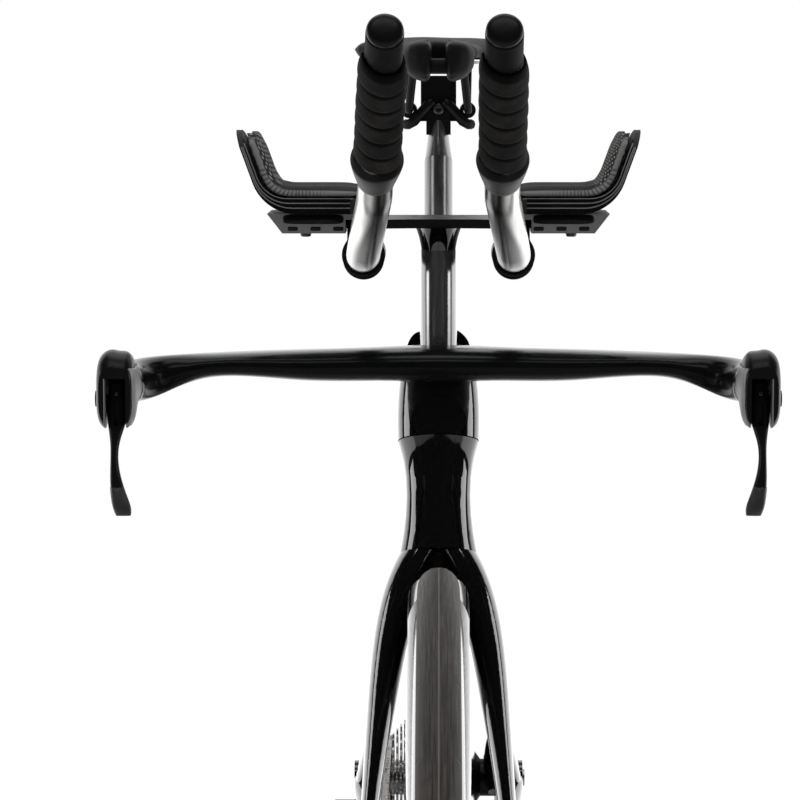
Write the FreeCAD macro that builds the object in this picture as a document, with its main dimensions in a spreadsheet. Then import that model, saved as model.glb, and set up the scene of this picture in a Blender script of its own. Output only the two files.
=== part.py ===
"""Time trial bike: wheels, drive, frame, saddle and cockpit as separate sub-parts.

Forward is -Y, up is +Z and the rider's left is +X. Every size is in millimetres.
"""
import FreeCAD, Part
import Sketcher
import math
import os
import re
from FreeCAD import Placement, Rotation, Vector

SIZES = {
    # Layout of the bicycle
    "wheelbase": 1000, "bead_radius": 311, "tyre_height": 27, "tyre_width": 26.5, "tyre_wall": 2.4,
    "bottom_bracket_drop": 72, "chainstay_length": 408, "seat_angle": 78,
    "head_angle": 72.5, "fork_rake": 45, "crown_height": 358.6, "head_tube_length": 75, "stem_height": 30,
    "running_clearance": 0.05, "seat_clearance": 0.3, "face_gap": 0.6,
    # Wheels
    "rim_depth": 58, "rim_width": 31, "rim_wall": 1.8, "rim_lip_width": 23.2,
    "spoke_count": 20, "spoke_radius": 1.1, "spoke_lead": 32, "flange_radius": 22, "flange_width": 5,
    "front_hub_width": 100, "rear_hub_width": 142, "hub_shell_radius": 12, "axle_radius": 6,
    "axle_head_radius": 8, "axle_head_length": 2, "end_cap_radius": 10, "hub_side_gap": 0.3,
    "rotor_radius": 70, "rotor_thickness": 1.8, "rotor_bore": 17, "rotor_window_outer": 48,
    "rotor_window_inner": 24, "rotor_hole_radius": 2.6, "rotor_hole_circle": 60, "rotor_hole_count": 24,
    "front_rotor_offset": 36, "rear_rotor_offset": 53, "disc_hub_radius": 24, "disc_hub_left": 33,
    "disc_hub_right": 23, "disc_wall": 1.5,
    # Drive
    "chain_pitch": 12.7, "chainring_teeth": 54, "chainring_thickness": 1.8, "jockey_teeth": 12,
    "cog_thickness": 1.6, "cog_spacing": 3.55, "cassette_outer": 66, "roller_radius": 3.8,
    "chain_plate_height": 8.4, "chain_plate_thickness": 0.7, "roller_width": 2.2, "chain_play": 0.1,
    "crank_length": 170, "crank_inner": 59, "crank_thickness": 13, "crank_boss_radius": 22,
    "pedal_boss_radius": 13, "spindle_radius": 12, "spindle_bearing_width": 9, "shell_width": 86.5,
    "shell_radius": 27, "shell_bore": 20.5, "chainring_bore": 34,
    "pedal_axle_radius": 5, "pedal_axle_length": 74, "pedal_length": 88, "pedal_width": 62,
    "pedal_thickness": 15, "pedal_gap": 4,
    "guide_drop": 76, "guide_behind": 6, "jockey_distance": 58, "cage_gap": 9.6, "cage_plate": 1.8,
    "jockey_pin_radius": 2.5, "hanger_thickness": 5, "hanger_drop": 36, "knuckle_radius": 13,
    # Frame
    "head_tube_foot_width": 52, "head_tube_waist_width": 43.6, "head_tube_top_width": 54, "head_tube_tail": 58,
    "head_bore": 17.2, "crown_room": 46, "bearing_outer": 20.9, "bearing_height": 7, "steerer_radius": 14.3,
    "top_tube_width": 38, "top_tube_height": 60, "top_tube_rear_height": 690,
    "down_tube_width": 47, "down_tube_nose": 25, "down_tube_tail": 36,
    "seat_tube_width": 36, "seat_tube_nose": 31, "seat_tube_tail": 34, "seat_tube_top": 748,
    "stay_width": 13, "chainstay_height": 30, "seatstay_depth": 22, "seatstay_join": 600,
    "dropout_thickness": 5.5, "dropout_radius": 16, "bottle_spacing": 64, "bottle_bore": 2.5,
    "bottle_depth": 14, "bottle_place": 250,
    # Storage box on the top tube
    "box_length": 190, "box_front_gap": 54, "box_width": 54, "box_top": 808, "box_fall": 36, "box_wall": 3,
    "lid_thickness": 6, "lid_gap": 0.4, "lid_hinge_radius": 2.2, "lid_hinge_width": 24,
    # Seatpost and saddle; the nose is measured ahead of the rear axle
    "post_width": 23, "post_chord": 56, "post_depth": 140, "post_head": 934, "rail_radius": 3.3,
    "rail_spread": 48, "rail_rise": 32, "rail_height": 950,
    "saddle_top": 1008, "saddle_length": 255, "saddle_nose": 382, "saddle_width": 132,
    "saddle_nose_width": 47, "saddle_channel": 10.5, "saddle_nose_depth": 30,
    "saddle_rear_depth": 22, "shell_thickness": 2.5,
    # Fork
    "fork_shoulder_width": 75, "fork_shoulder_drop": 30, "fork_knee_width": 92, "fork_knee_gap": 54,
    "fork_knee_drop": 95, "fork_leg_width": 98.6, "fork_leg_gap": 73, "fork_leg_drop": 155,
    "fork_blade_chord": 50, "fork_dropout_thickness": 9, "fork_dropout_radius": 13, "wheel_slot_gap": 7,
    # Cockpit; lengths run back from the front axle, bridge and tube heights up from extension_height,
    # and the pads' heights up from the bridge and from their floor
    "bar_height": 791.5, "bar_centre": 155, "bar_thickness": 22.5, "bar_tip_thickness": 17,
    "bar_spread": 400, "bar_bend": 43, "grip_front": 48, "grip_height": 26, "grip_width": 24,
    "riser_width": 24.8, "riser_chord": 52, "riser_seam": 842, "riser_cap_height": 15,
    "bridge_height": 17.3, "bridge_thickness": 6, "bridge_width": 122, "bridge_front": 168,
    "bridge_depth": 74, "extension_radius": 11.1, "extension_wall": 1.6, "extension_spread": 99,
    "left_tip_side": 37.5, "right_tip_side": 31.5, "knee_side": 39.4,
    "extension_height": 862.7, "extension_rear": 265, "extension_bend": 148,
    "extension_knee": 30, "extension_knee_height": 44.3, "extension_tip": -128, "extension_tip_height": 128.8,
    "extension_bend_radius": 110, "clamp_wall": 3.2, "clamp_length": 34, "clamp_front": 170,
    "tape_turns": 6, "tape_pitch": 20, "tape_width": 23, "tape_thickness": 1.2, "tape_rise": 2,
    "tape_band_length": 20, "shifter_length": 34, "shifter_radius": 11, "button_radius": 5, "button_rise": 1.2,
    "button_travel": 1.2,
    "pad_front": 162, "pad_length": 104, "pad_inner": 50, "pad_corner": 107, "pad_lean": 20, "pad_toe": 1.5,
    "pad_top": 27, "pad_wing_top": 35, "pad_thickness": 6.8, "cup_floor": 10, "cup_wing": 3.5, "cup_gap": 0.3,
    "bracket_depth": 9, "bracket_foot": 103, "bracket_shoulder": 113, "pad_corner_radius": 14,
    "hood_length": 56, "hood_width": 24, "hood_top": 813, "hood_bottom": 765.5, "lever_slot": 13.4,
    "lever_width": 11.6, "lever_pivot_height": 783, "lever_pivot": 12, "lever_pin_radius": 2.5,
    "lever_tip_height": 714, "caliper_gap": 1.2,
}
COGS = [11, 12, 13, 14, 15, 16, 17, 19, 21, 23, 25, 28]
CHAIN_COG = 6
LEFT, RIGHT = 1, -1
SIDES = {"left": LEFT, "right": RIGHT}
RING_POINTS = 16

doc = FreeCAD.newDocument("TimeTrialBike")
sheet = doc.addObject("Spreadsheet::Sheet", "Sizes")
for row, (alias, amount) in enumerate(SIZES.items(), start=1):
    sheet.set(f"A{row}", alias)
    sheet.set(f"B{row}", str(amount))
    sheet.setAlias(f"B{row}", alias)
doc.recompute()
size = {alias: float(sheet.get(alias)) for alias in SIZES}
sub_parts = []


def number(formula):
    """Work out a sum of products of sheet names and numbers, such as "rim_width / 2 - rim_wall"."""
    total = 0.0
    for sign, term in re.findall(r"([+-]?)\s*([^+-]+)", str(formula)):
        amount = -1.0 if sign == "-" else 1.0
        for operator, factor in re.findall(r"([*/]?)\s*([\w.]+)", term):
            value = size[factor] if factor in size else float(factor)
            amount = amount / value if operator == "/" else amount * value
        total += amount
    return total


def bind(item, prop, formula):
    """Tie a property to the sheet."""
    item.setExpression(prop, re.sub(r"[a-z_]{2,}", lambda word: "Sizes." + word.group(0), str(formula)))


def keep(item, label):
    """Name a finished sub-part."""
    item.Label = label
    sub_parts.append(item)
    return item


def solid(label, *shapes):
    """A sub-part whose shape is worked out here from the sheet's values."""
    item = doc.addObject("Part::Feature", label)
    item.Shape = shapes[0] if len(shapes) == 1 else Part.makeCompound(list(shapes))
    return keep(item, label)


def primitive(kind, name, place, **formulas):
    """A primitive with its sizes tied to the sheet."""
    item = doc.addObject(kind, name)
    for prop, formula in formulas.items():
        bind(item, prop, formula)
    item.Placement = place
    return item


def across(x, y, z):
    """A place whose local Z runs along the bike's X."""
    return Placement(Vector(x, y, z), Rotation(Vector(0, 1, 0), 90))


def cut(name, base, tool):
    item = doc.addObject("Part::Cut", name)
    item.Base = base
    item.Tool = tool
    return item


def fuse(name, *items):
    item = doc.addObject("Part::MultiFuse", name)
    item.Shapes = list(items)
    return item


def new_body(label):
    return doc.addObject("PartDesign::Body", label)


def grouped(label, items):
    """Several bodies that make one sub-part."""
    item = doc.addObject("Part::Compound", label)
    item.Links = items
    return keep(item, label)


def new_sketch(body, name, role="XY_Plane"):
    sketch = body.newObject("Sketcher::SketchObject", name)
    support = next(plane for plane in body.Origin.OriginFeatures if plane.Role == role)
    sketch.AttachmentSupport = (support, [""])
    sketch.MapMode = "FlatFace"
    return sketch


def draw_corners(sketch, corners):
    """A closed outline whose corners are pairs of formulas."""
    points = [Vector(number(first), number(second), 0) for first, second in corners]
    start = sketch.GeometryCount
    count = len(points)
    for index in range(count):
        sketch.addGeometry(Part.LineSegment(points[index], points[(index + 1) % count]))
    for index in range(count):
        following = start + (index + 1) % count
        sketch.addConstraint(Sketcher.Constraint("Coincident", start + index, 2, following, 1))
    for index, pair in enumerate(corners):
        for kind, formula in zip(("DistanceX", "DistanceY"), pair):
            row = sketch.addConstraint(Sketcher.Constraint(kind, start + index, 1, number(formula)))
            bind(sketch, f"Constraints[{row}]", formula)


def draw_circle(sketch, radius, first="0", second="0"):
    """A circle whose radius and centre are formulas."""
    centre = Vector(number(first), number(second), 0)
    index = sketch.addGeometry(Part.Circle(centre, Vector(0, 0, 1), number(radius)))
    row = sketch.addConstraint(Sketcher.Constraint("Radius", index, number(radius)))
    bind(sketch, f"Constraints[{row}]", radius)
    for kind, formula in (("DistanceX", first), ("DistanceY", second)):
        row = sketch.addConstraint(Sketcher.Constraint(kind, index, 3, number(formula)))
        bind(sketch, f"Constraints[{row}]", formula)


def turned(label, corners, place):
    """A piece turned about its own X, from corners given as (along, radius)."""
    body = new_body(label)
    sketch = new_sketch(body, label + "_profile")
    draw_corners(sketch, corners)
    spin = body.newObject("PartDesign::Revolution", label + "_turning")
    spin.Profile = sketch
    spin.ReferenceAxis = (sketch, ["H_Axis"])
    spin.Angle = 360
    body.Tip = spin
    body.Placement = place
    return body


def padded_sketch(body, sketch, thickness):
    """Give a sketch thickness, half of it each way."""
    pad = body.newObject("PartDesign::Pad", sketch.Name + "_pad")
    pad.Profile = sketch
    bind(pad, "Length", thickness)
    pad.SideType = "Symmetric"
    return pad


def pocket_pattern(body, sketch, count):
    """Cut a sketch right through, repeated evenly about the sketch's normal."""
    pocket = body.newObject("PartDesign::Pocket", sketch.Name + "_pocket")
    pocket.Profile = sketch
    pocket.Type = "ThroughAll"
    pocket.SideType = "Symmetric"
    pattern = body.newObject("PartDesign::PolarPattern", sketch.Name + "_pattern")
    pattern.Originals = [pocket]
    pattern.Axis = (sketch, ["N_Axis"])
    pattern.Angle = 360
    bind(pattern, "Occurrences", count)
    body.Tip = pattern


def ring(centre, ahead, sideways, nose, tail, half_width, squareness=2.0):
    """A smooth closed section with its own reach ahead of and behind the centre."""
    points = []
    for step in range(RING_POINTS):
        angle = 2 * math.pi * step / RING_POINTS
        forward, side = math.cos(angle), math.sin(angle)
        power = 2 / squareness
        reach = math.copysign(abs(forward) ** power, forward) * (nose if forward > 0 else tail)
        spread = math.copysign(abs(side) ** power, side) * half_width
        points.append(centre + ahead * reach + sideways * spread)
    curve = Part.BSplineCurve()
    curve.interpolate(points, PeriodicFlag=True)
    return Part.Wire(curve.toShape())


def loft(rings, ruled=False):
    return Part.makeLoft(rings, True, ruled)


def biggest(shape):
    return max(shape.Solids, key=lambda piece: piece.Volume)


def rod(start, end, radius):
    return Part.makeCylinder(radius, start.distanceToPoint(end), start, end - start)


def mirrored(shape):
    return shape.mirror(Vector(0, 0, 0), Vector(1, 0, 0))


def handed(shape, side):
    """The shape as drawn on the left, or its mirror image on the right."""
    return shape if side == LEFT else mirrored(shape)


def rounded_route(points, radius):
    """Straight runs with an arc at each inner corner."""
    edges = []
    start = points[0]
    for before, corner, after in zip(points, points[1:], points[2:]):
        to_before = (before - corner).normalize()
        to_after = (after - corner).normalize()
        half = to_before.getAngle(to_after) / 2
        reach = radius / math.tan(half)
        entry = corner + to_before * reach
        leave = corner + to_after * reach
        inward = (to_before + to_after).normalize()
        middle = corner + inward * (radius / math.sin(half) - radius)
        edges.append(Part.makeLine(start, entry))
        edges.append(Part.Arc(entry, middle, leave).toShape())
        start = leave
    edges.append(Part.makeLine(start, points[-1]))
    return Part.Wire(edges)


def pipe(wire, radius):
    """A round rod that follows a wire."""
    first = wire.Edges[0]
    start = first.valueAt(first.FirstParameter)
    section = Part.Wire(Part.makeCircle(radius, start, first.tangentAt(first.FirstParameter)))
    return wire.makePipeShell([section], True, False)


# Places that the pieces share
X = Vector(1, 0, 0)
FORWARD = Vector(0, -1, 0)
UP = Vector(0, 0, 1)
wheel_radius = number("bead_radius + tyre_height")
front_axle = Vector(0, -size["wheelbase"] / 2, wheel_radius)
rear_axle = Vector(0, size["wheelbase"] / 2, wheel_radius)
bracket_ahead = math.sqrt(size["chainstay_length"] ** 2 - size["bottom_bracket_drop"] ** 2)
bracket = rear_axle + Vector(0, -bracket_ahead, -size["bottom_bracket_drop"])
head_lean = math.radians(90 - size["head_angle"])
steer_up = Vector(0, math.sin(head_lean), math.cos(head_lean))
steer_ahead = Vector(0, -math.cos(head_lean), math.sin(head_lean))
steer_base = front_axle - steer_ahead * size["fork_rake"]
head_top = size["crown_height"] + size["head_tube_length"]
stem_top = head_top + size["stem_height"]
seat_lean = math.radians(90 - size["seat_angle"])
seat_up = Vector(0, math.sin(seat_lean), math.cos(seat_lean))
seat_ahead = Vector(0, -math.cos(seat_lean), math.sin(seat_lean))
bridge_level = size["extension_height"] + size["bridge_height"]
pad_floor = bridge_level + size["pad_top"]
saddle_nose = rear_axle.y - size["saddle_nose"]
chain_x = -(size["cassette_outer"] - CHAIN_COG * size["cog_spacing"])


def behind_axle(name):
    """Where a cockpit length, measured back from the front axle, ends."""
    return front_axle.y + size[name]


def steer_point(along, ahead=0.0, side=0.0):
    """A point measured along, ahead of and beside the steering axis."""
    return steer_base + steer_up * along + steer_ahead * ahead + X * side


def seat_point(height, ahead=0.0):
    """A point of the seat tube's line at a height above the ground."""
    along = (height - bracket.z) / seat_up.z
    return bracket + seat_up * along + seat_ahead * ahead


def at(x, y, z):
    return Vector(x, y, z)


# Wheels
def make_tyre(label, axle):
    """A tubular tyre: a round casing with its air space."""
    casing = primitive("Part::Torus", label + "_casing", across(*axle),
                       Radius1="bead_radius + tyre_height - tyre_width / 2", Radius2="tyre_width / 2")
    air = primitive("Part::Torus", label + "_air", across(*axle),
                    Radius1="bead_radius + tyre_height - tyre_width / 2", Radius2="tyre_width / 2 - tyre_wall")
    keep(cut(label, casing, air), label)


def side_curve(points):
    curve = Part.BSplineCurve()
    curve.interpolate(points)
    return curve.toShape()


def tyre_bed(half_lip):
    """The rim's hollow bed, from lip to lip, under the round tyre."""
    centre = wheel_radius - size["tyre_width"] / 2
    radius = size["tyre_width"] / 2 + size["running_clearance"]
    edge = centre - math.sqrt(radius ** 2 - half_lip ** 2)
    return Part.Arc(at(-half_lip, edge, 0), at(0, centre - radius, 0), at(half_lip, edge, 0)).toShape(), edge


def spun(outer, inner, axle):
    """Turn a profile about the axle and take out its hollow."""
    whole, hollow = [Part.Face(Part.Wire(edges)).revolve(at(0, 0, 0), X, 360) for edges in (outer, inner)]
    return whole.cut(hollow).translated(axle)


def make_rim():
    """A deep rim with bulged sides and a round nose, hollow inside."""
    lip = size["rim_lip_width"] / 2
    bed, edge = tyre_bed(lip)
    half = size["rim_width"] / 2
    nose = edge - size["rim_depth"]
    depth = size["rim_depth"]
    wall = size["rim_wall"]
    shares = [(0.92, 0.14), (1.0, 0.4), (0.86, 0.7), (0.5, 0.93)]
    side = [at(half * width, edge - depth * down, 0) for width, down in shares]
    other = [at(-point.x, point.y, 0) for point in reversed(side)]
    outer = [bed, side_curve([at(lip, edge, 0)] + side + [at(0, nose, 0)] + other + [at(-lip, edge, 0)])]
    roof = edge - size["tyre_width"] / 2
    inside = [at(half * width - wall, edge - depth * down + wall * down, 0) for width, down in shares[1:]]
    back = [at(-point.x, point.y, 0) for point in reversed(inside)]
    corner = at(half - 2 * wall, roof, 0)
    far_corner = at(-corner.x, roof, 0)
    hollow = [Part.makeLine(far_corner, corner),
              side_curve([corner] + inside + [at(0, nose + wall, 0)] + back + [far_corner])]
    solid("front_rim", spun(outer, hollow, front_axle))
    return nose


def make_spokes(nose):
    """Straight-pull spokes: the left flange leads and the right flange trails."""
    count = int(size["spoke_count"])
    spokes = []
    for index in range(count):
        flange, lean = (0.2, 1) if index % 2 else (-0.32, -1)
        angle = 2 * math.pi * index / count
        start_angle = angle + math.radians(size["spoke_lead"]) * lean
        start_radius = size["flange_radius"] + size["spoke_radius"] + size["seat_clearance"]
        end_radius = nose - size["seat_clearance"]
        start = at(size["front_hub_width"] * flange, start_radius * math.sin(start_angle),
                   start_radius * math.cos(start_angle))
        end = at(0, end_radius * math.sin(angle), end_radius * math.cos(angle))
        spokes.append(rod(start + front_axle, end + front_axle, size["spoke_radius"]))
    solid("front_spokes", *spokes)


def make_front_hub():
    bore = "axle_radius + running_clearance"
    end = "front_hub_width / 2 - hub_side_gap"
    right_end = "0 - front_hub_width / 2 + hub_side_gap"
    left, right = "front_hub_width * 0.2", "front_hub_width * 0.32"
    hub = turned("front_hub", [
        (right_end, bore), (right_end, "end_cap_radius"),
        (f"0 - {right} - flange_width", "end_cap_radius"),
        (f"0 - {right} - flange_width / 2", "flange_radius"),
        (f"0 - {right} + flange_width / 2", "flange_radius"),
        (f"0 - {right} + flange_width", "hub_shell_radius"), (f"{left} - flange_width", "hub_shell_radius"),
        (f"{left} - flange_width / 2", "flange_radius"), (f"{left} + flange_width / 2", "flange_radius"),
        (f"{left} + flange_width", "rotor_bore"),
        ("front_rotor_offset + rotor_thickness", "rotor_bore"),
        ("front_rotor_offset + rotor_thickness", "end_cap_radius"), (end, "end_cap_radius"), (end, bore),
    ], Placement(front_axle, Rotation()))
    keep(hub, "front_hub")


def make_rotor(label, offset, axle):
    """A slotted brake rotor on the hub's left side."""
    body = keep(new_body(label), label)
    plate = new_sketch(body, label + "_plate", "YZ_Plane")
    draw_circle(plate, "rotor_radius")
    draw_circle(plate, "rotor_bore")
    padded_sketch(body, plate, "rotor_thickness")
    windows = new_sketch(body, label + "_windows", "YZ_Plane")
    draw_corners(windows, [("rotor_window_inner", "0 - rotor_window_inner * 0.3"),
                           ("rotor_window_outer", "0 - rotor_window_outer * 0.16"),
                           ("rotor_window_outer", "rotor_window_outer * 0.42"),
                           ("rotor_window_inner", "rotor_window_inner * 0.3")])
    pocket_pattern(body, windows, "6")
    holes = new_sketch(body, label + "_holes", "YZ_Plane")
    draw_circle(holes, "rotor_hole_radius", "rotor_hole_circle", "0")
    pocket_pattern(body, holes, "rotor_hole_count")
    body.Placement = Placement(axle + X * size[offset], Rotation())


def make_disc_wheel():
    """A closed carbon disc: two bowed skins from the tyre bed to the hub."""
    lip = size["rim_lip_width"] / 2
    bed, edge = tyre_bed(lip)
    half = size["rim_width"] / 2
    hub = size["disc_hub_radius"]
    left, right = size["disc_hub_left"], size["disc_hub_right"]
    wall = size["disc_wall"]

    def side(sign, reach, inset, top):
        """One skin: bowed under the tyre, then straight to the hub."""
        shoulder = [at(sign * top.x, top.y, 0), at(sign * (half * 0.97 - inset), edge - 18, 0),
                    at(sign * (half - inset), edge - 40, 0)]
        foot = at(sign * (reach - inset), hub + inset, 0)
        return [side_curve(shoulder), Part.makeLine(shoulder[-1], foot)], foot

    def sides(inset, top):
        (here, foot), (there, far_foot) = side(1, left, inset, top), side(-1, right, inset, top)
        return here + [Part.makeLine(foot, far_foot)] + there

    roof = at(half - 3 * wall, edge - size["tyre_width"] / 2, 0)
    outer = Part.__sortEdges__([bed] + sides(0, at(lip, edge, 0)))
    inner = Part.__sortEdges__([Part.makeLine(at(-roof.x, roof.y, 0), roof)] + sides(wall, roof))
    solid("rear_disc", spun(outer, inner, rear_axle))


def make_rear_hub():
    bore = "axle_radius + running_clearance"
    end = "rear_hub_width / 2 - hub_side_gap"
    hub = turned("rear_hub", [
        ("0 - disc_hub_right - flange_width / 4", bore),
        ("0 - disc_hub_right - flange_width / 4", "rotor_bore"),
        ("0 - disc_hub_right", "disc_hub_radius"), ("disc_hub_left", "disc_hub_radius"),
        ("disc_hub_left + flange_width", "rotor_bore"), ("rear_rotor_offset + rotor_thickness", "rotor_bore"),
        ("rear_rotor_offset + rotor_thickness", "end_cap_radius"), (end, "end_cap_radius"), (end, bore),
    ], Placement(rear_axle, Rotation()))
    keep(hub, "rear_hub")


def make_axle(label, hub_width, wall, axle):
    """A through axle with a flanged head on the left."""
    inner = f"{hub_width} / 2 + {wall}"
    axle_body = turned(label, [
        (f"0 - {hub_width} / 2 - {wall}", "axle_radius * 0.6"),
        (f"0 - {hub_width} / 2 - {wall}", "axle_radius"),
        (inner, "axle_radius"), (inner, "axle_head_radius"),
        (inner + " + axle_head_length", "axle_head_radius"),
        (inner + " + axle_head_length", "axle_radius * 0.6"),
    ], Placement(axle, Rotation()))
    keep(axle_body, label)


# Drive
def pitch_radius(teeth):
    return size["chain_pitch"] / (2 * math.sin(math.pi / teeth))


def sprocket(teeth, thickness, phase, bore):
    """A toothed plate in the YZ plane about the origin; phase turns a tooth gap to that angle."""
    radius = pitch_radius(teeth)
    seat = size["roller_radius"] + size["chain_play"]
    step = 2 * math.pi / teeth
    tip = radius + size["roller_radius"] * 0.5

    def polar(distance, angle):
        return at(0, distance * math.cos(angle), distance * math.sin(angle))

    edges = []
    for index in range(teeth):
        gap = phase + index * step
        centre = polar(radius, gap)
        open_angle = 1.22

        def on_seat(turn):
            return centre + polar(seat, gap + math.pi + turn)

        first, last = on_seat(-open_angle), on_seat(open_angle)
        edges.append(Part.Arc(last, on_seat(0), first).toShape())
        tooth = gap + step / 2
        lead, trail = polar(tip, tooth - step * 0.09), polar(tip, tooth + step * 0.09)
        following = polar(radius, gap + step)
        next_first = following + polar(seat, gap + step + math.pi + open_angle)
        edges.append(Part.makeLine(first, lead))
        edges.append(Part.makeLine(lead, trail))
        edges.append(Part.makeLine(trail, next_first))
    outline = Part.Wire(Part.__sortEdges__(edges))
    plate = Part.Face(outline).extrude(X * thickness)
    hole = rod(at(-1, 0, 0), at(thickness + 1, 0, 0), bore)
    return plate.cut(hole).translated(X * (-thickness / 2))


def belt(wheels):
    """Tangent runs and arcs round wheels given as (centre, radius, turning sense) in order."""
    count = len(wheels)
    runs = []
    for index in range(count):
        (c0, r0, s0), (c1, r1, s1) = wheels[index], wheels[(index + 1) % count]
        gap = c1 - c0
        base = math.atan2(gap.z, gap.y)
        swing = math.asin((s0 * r0 - s1 * r1) / gap.Length)
        heading = base + swing
        normal = at(0, math.sin(heading), -math.cos(heading))
        runs.append((c0 + normal * (r0 * s0), c1 + normal * (r1 * s1)))
    pieces = []
    for index in range(count):
        centre, radius, sense = wheels[index]
        entry, leave = runs[index - 1][1], runs[index][0]
        first = math.atan2(entry.z - centre.z, entry.y - centre.y)
        last = math.atan2(leave.z - centre.z, leave.y - centre.y)
        sweep = (last - first) % (2 * math.pi) if sense > 0 else -((first - last) % (2 * math.pi))
        pieces.append(("arc", centre, radius, first, sweep))
        pieces.append(("run", leave, runs[index][1]))
    return pieces


def piece_length(piece):
    return abs(piece[4]) * piece[2] if piece[0] == "arc" else piece[1].distanceToPoint(piece[2])


def belt_point(pieces, distance):
    """The point a distance along the belt."""
    for piece in pieces:
        length = piece_length(piece)
        if distance <= length:
            break
        distance -= length
    share = distance / length
    if piece[0] == "run":
        return piece[1] + (piece[2] - piece[1]) * share
    angle = piece[3] + piece[4] * share
    return piece[1] + at(0, math.cos(angle), math.sin(angle)) * piece[2]


def chain_wheels(cage_angle):
    """Chainring, tension wheel, guide wheel and cog, in the order that the chain meets them."""
    guide = rear_axle + at(0, size["guide_behind"], -size["guide_drop"])
    tension = guide + at(0, math.cos(cage_angle), math.sin(cage_angle)) * size["jockey_distance"]
    jockey = pitch_radius(size["jockey_teeth"])
    return [(bracket, pitch_radius(size["chainring_teeth"]), 1), (tension, jockey, 1),
            (guide, jockey, -1), (rear_axle, pitch_radius(COGS[CHAIN_COG]), 1)]


def walk_chain(pieces):
    """Roller centres one pitch apart, starting where the chain meets the chainring."""
    total = sum(piece_length(piece) for piece in pieces)
    pitch = size["chain_pitch"]
    distance = 0.0
    points = [belt_point(pieces, 0.0)]
    while distance < total - pitch / 2:
        low, high = distance + pitch * 0.99, distance + pitch * 1.06
        for _ in range(30):
            middle = (low + high) / 2
            near = belt_point(pieces, middle % total).distanceToPoint(points[-1]) < pitch
            low, high = (middle, high) if near else (low, middle)
        distance = (low + high) / 2
        points.append(belt_point(pieces, distance % total))
    return points[:-1], distance - total


def settle_cage():
    """Swing the cage until the chain closes on a whole, even number of links."""
    start, end, steps = math.radians(-125), math.radians(-60), 60
    before = None
    for step in range(steps + 1):
        angle = start + (end - start) * step / steps
        points, surplus = walk_chain(belt(chain_wheels(angle)))
        if before and len(points) == before[2] and len(points) % 2 == 0 and surplus * before[1] <= 0:
            low, high, sign = before[0], angle, before[1]
            for _ in range(30):
                middle = (low + high) / 2
                surplus = walk_chain(belt(chain_wheels(middle)))[1]
                low, high = (middle, high) if surplus * sign > 0 else (low, middle)
            return (low + high) / 2
        before = (angle, surplus, len(points))
    raise ValueError("the cage can't take up the chain: change jockey_distance or chainstay_length")


def chain_link(outer):
    """One link along local X: plates with pins, or plates with rollers."""
    pitch = size["chain_pitch"]
    radius = size["chain_plate_height"] / 2
    thick = size["chain_plate_thickness"]
    inner_face = size["roller_width"] / 2 + (thick + size["chain_play"] if outer else 0)
    pin = size["roller_radius"] * 0.45
    plates = []
    for sign in (1, -1):
        low = inner_face if sign > 0 else -inner_face - thick
        bar = Part.makeBox(pitch, 2 * radius * 0.8, thick, at(0, -radius * 0.8, low))
        ends = [Part.makeCylinder(radius, thick, at(place, 0, low)) for place in (0, pitch)]
        plates.append(bar.fuse(ends))
    body = plates[0].fuse(plates[1:])
    for place in (0, pitch):
        if outer:
            reach = inner_face + thick
            body = body.fuse(Part.makeCylinder(pin, 2 * reach, at(place, 0, -reach)))
        else:
            width = size["roller_width"] / 2 + thick
            foot = at(place, 0, thick / 2 - width)
            roller = Part.makeCylinder(size["roller_radius"], 2 * width - thick, foot)
            body = body.fuse(roller)
            body = body.cut(Part.makeCylinder(pin + size["chain_play"], 4 * width, at(place, 0, -2 * width)))
    return body.removeSplitter()


def make_chain(points):
    """The chain: inner and outer links in turn, joined at their pins."""
    pattern = [chain_link(True), chain_link(False)]
    links = []
    for index, start in enumerate(points):
        heading = points[(index + 1) % len(points)] - start
        along = at(0, heading.y, heading.z).normalize()
        normal = X.cross(along)
        spot = Placement(at(chain_x, start.y, start.z), Rotation(along, normal, X, "ZXY"))
        link = pattern[index % 2].copy()
        link.Placement = spot
        links.append(link)
    solid("chain", *links)


def gap_phase(points, centre, radius):
    """The angle of a roller that sits on a wheel."""
    spot = min(points, key=lambda point: abs(at(0, point.y, point.z).distanceToPoint(centre) - radius))
    return math.atan2(spot.z - centre.z, spot.y - centre.y)


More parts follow.
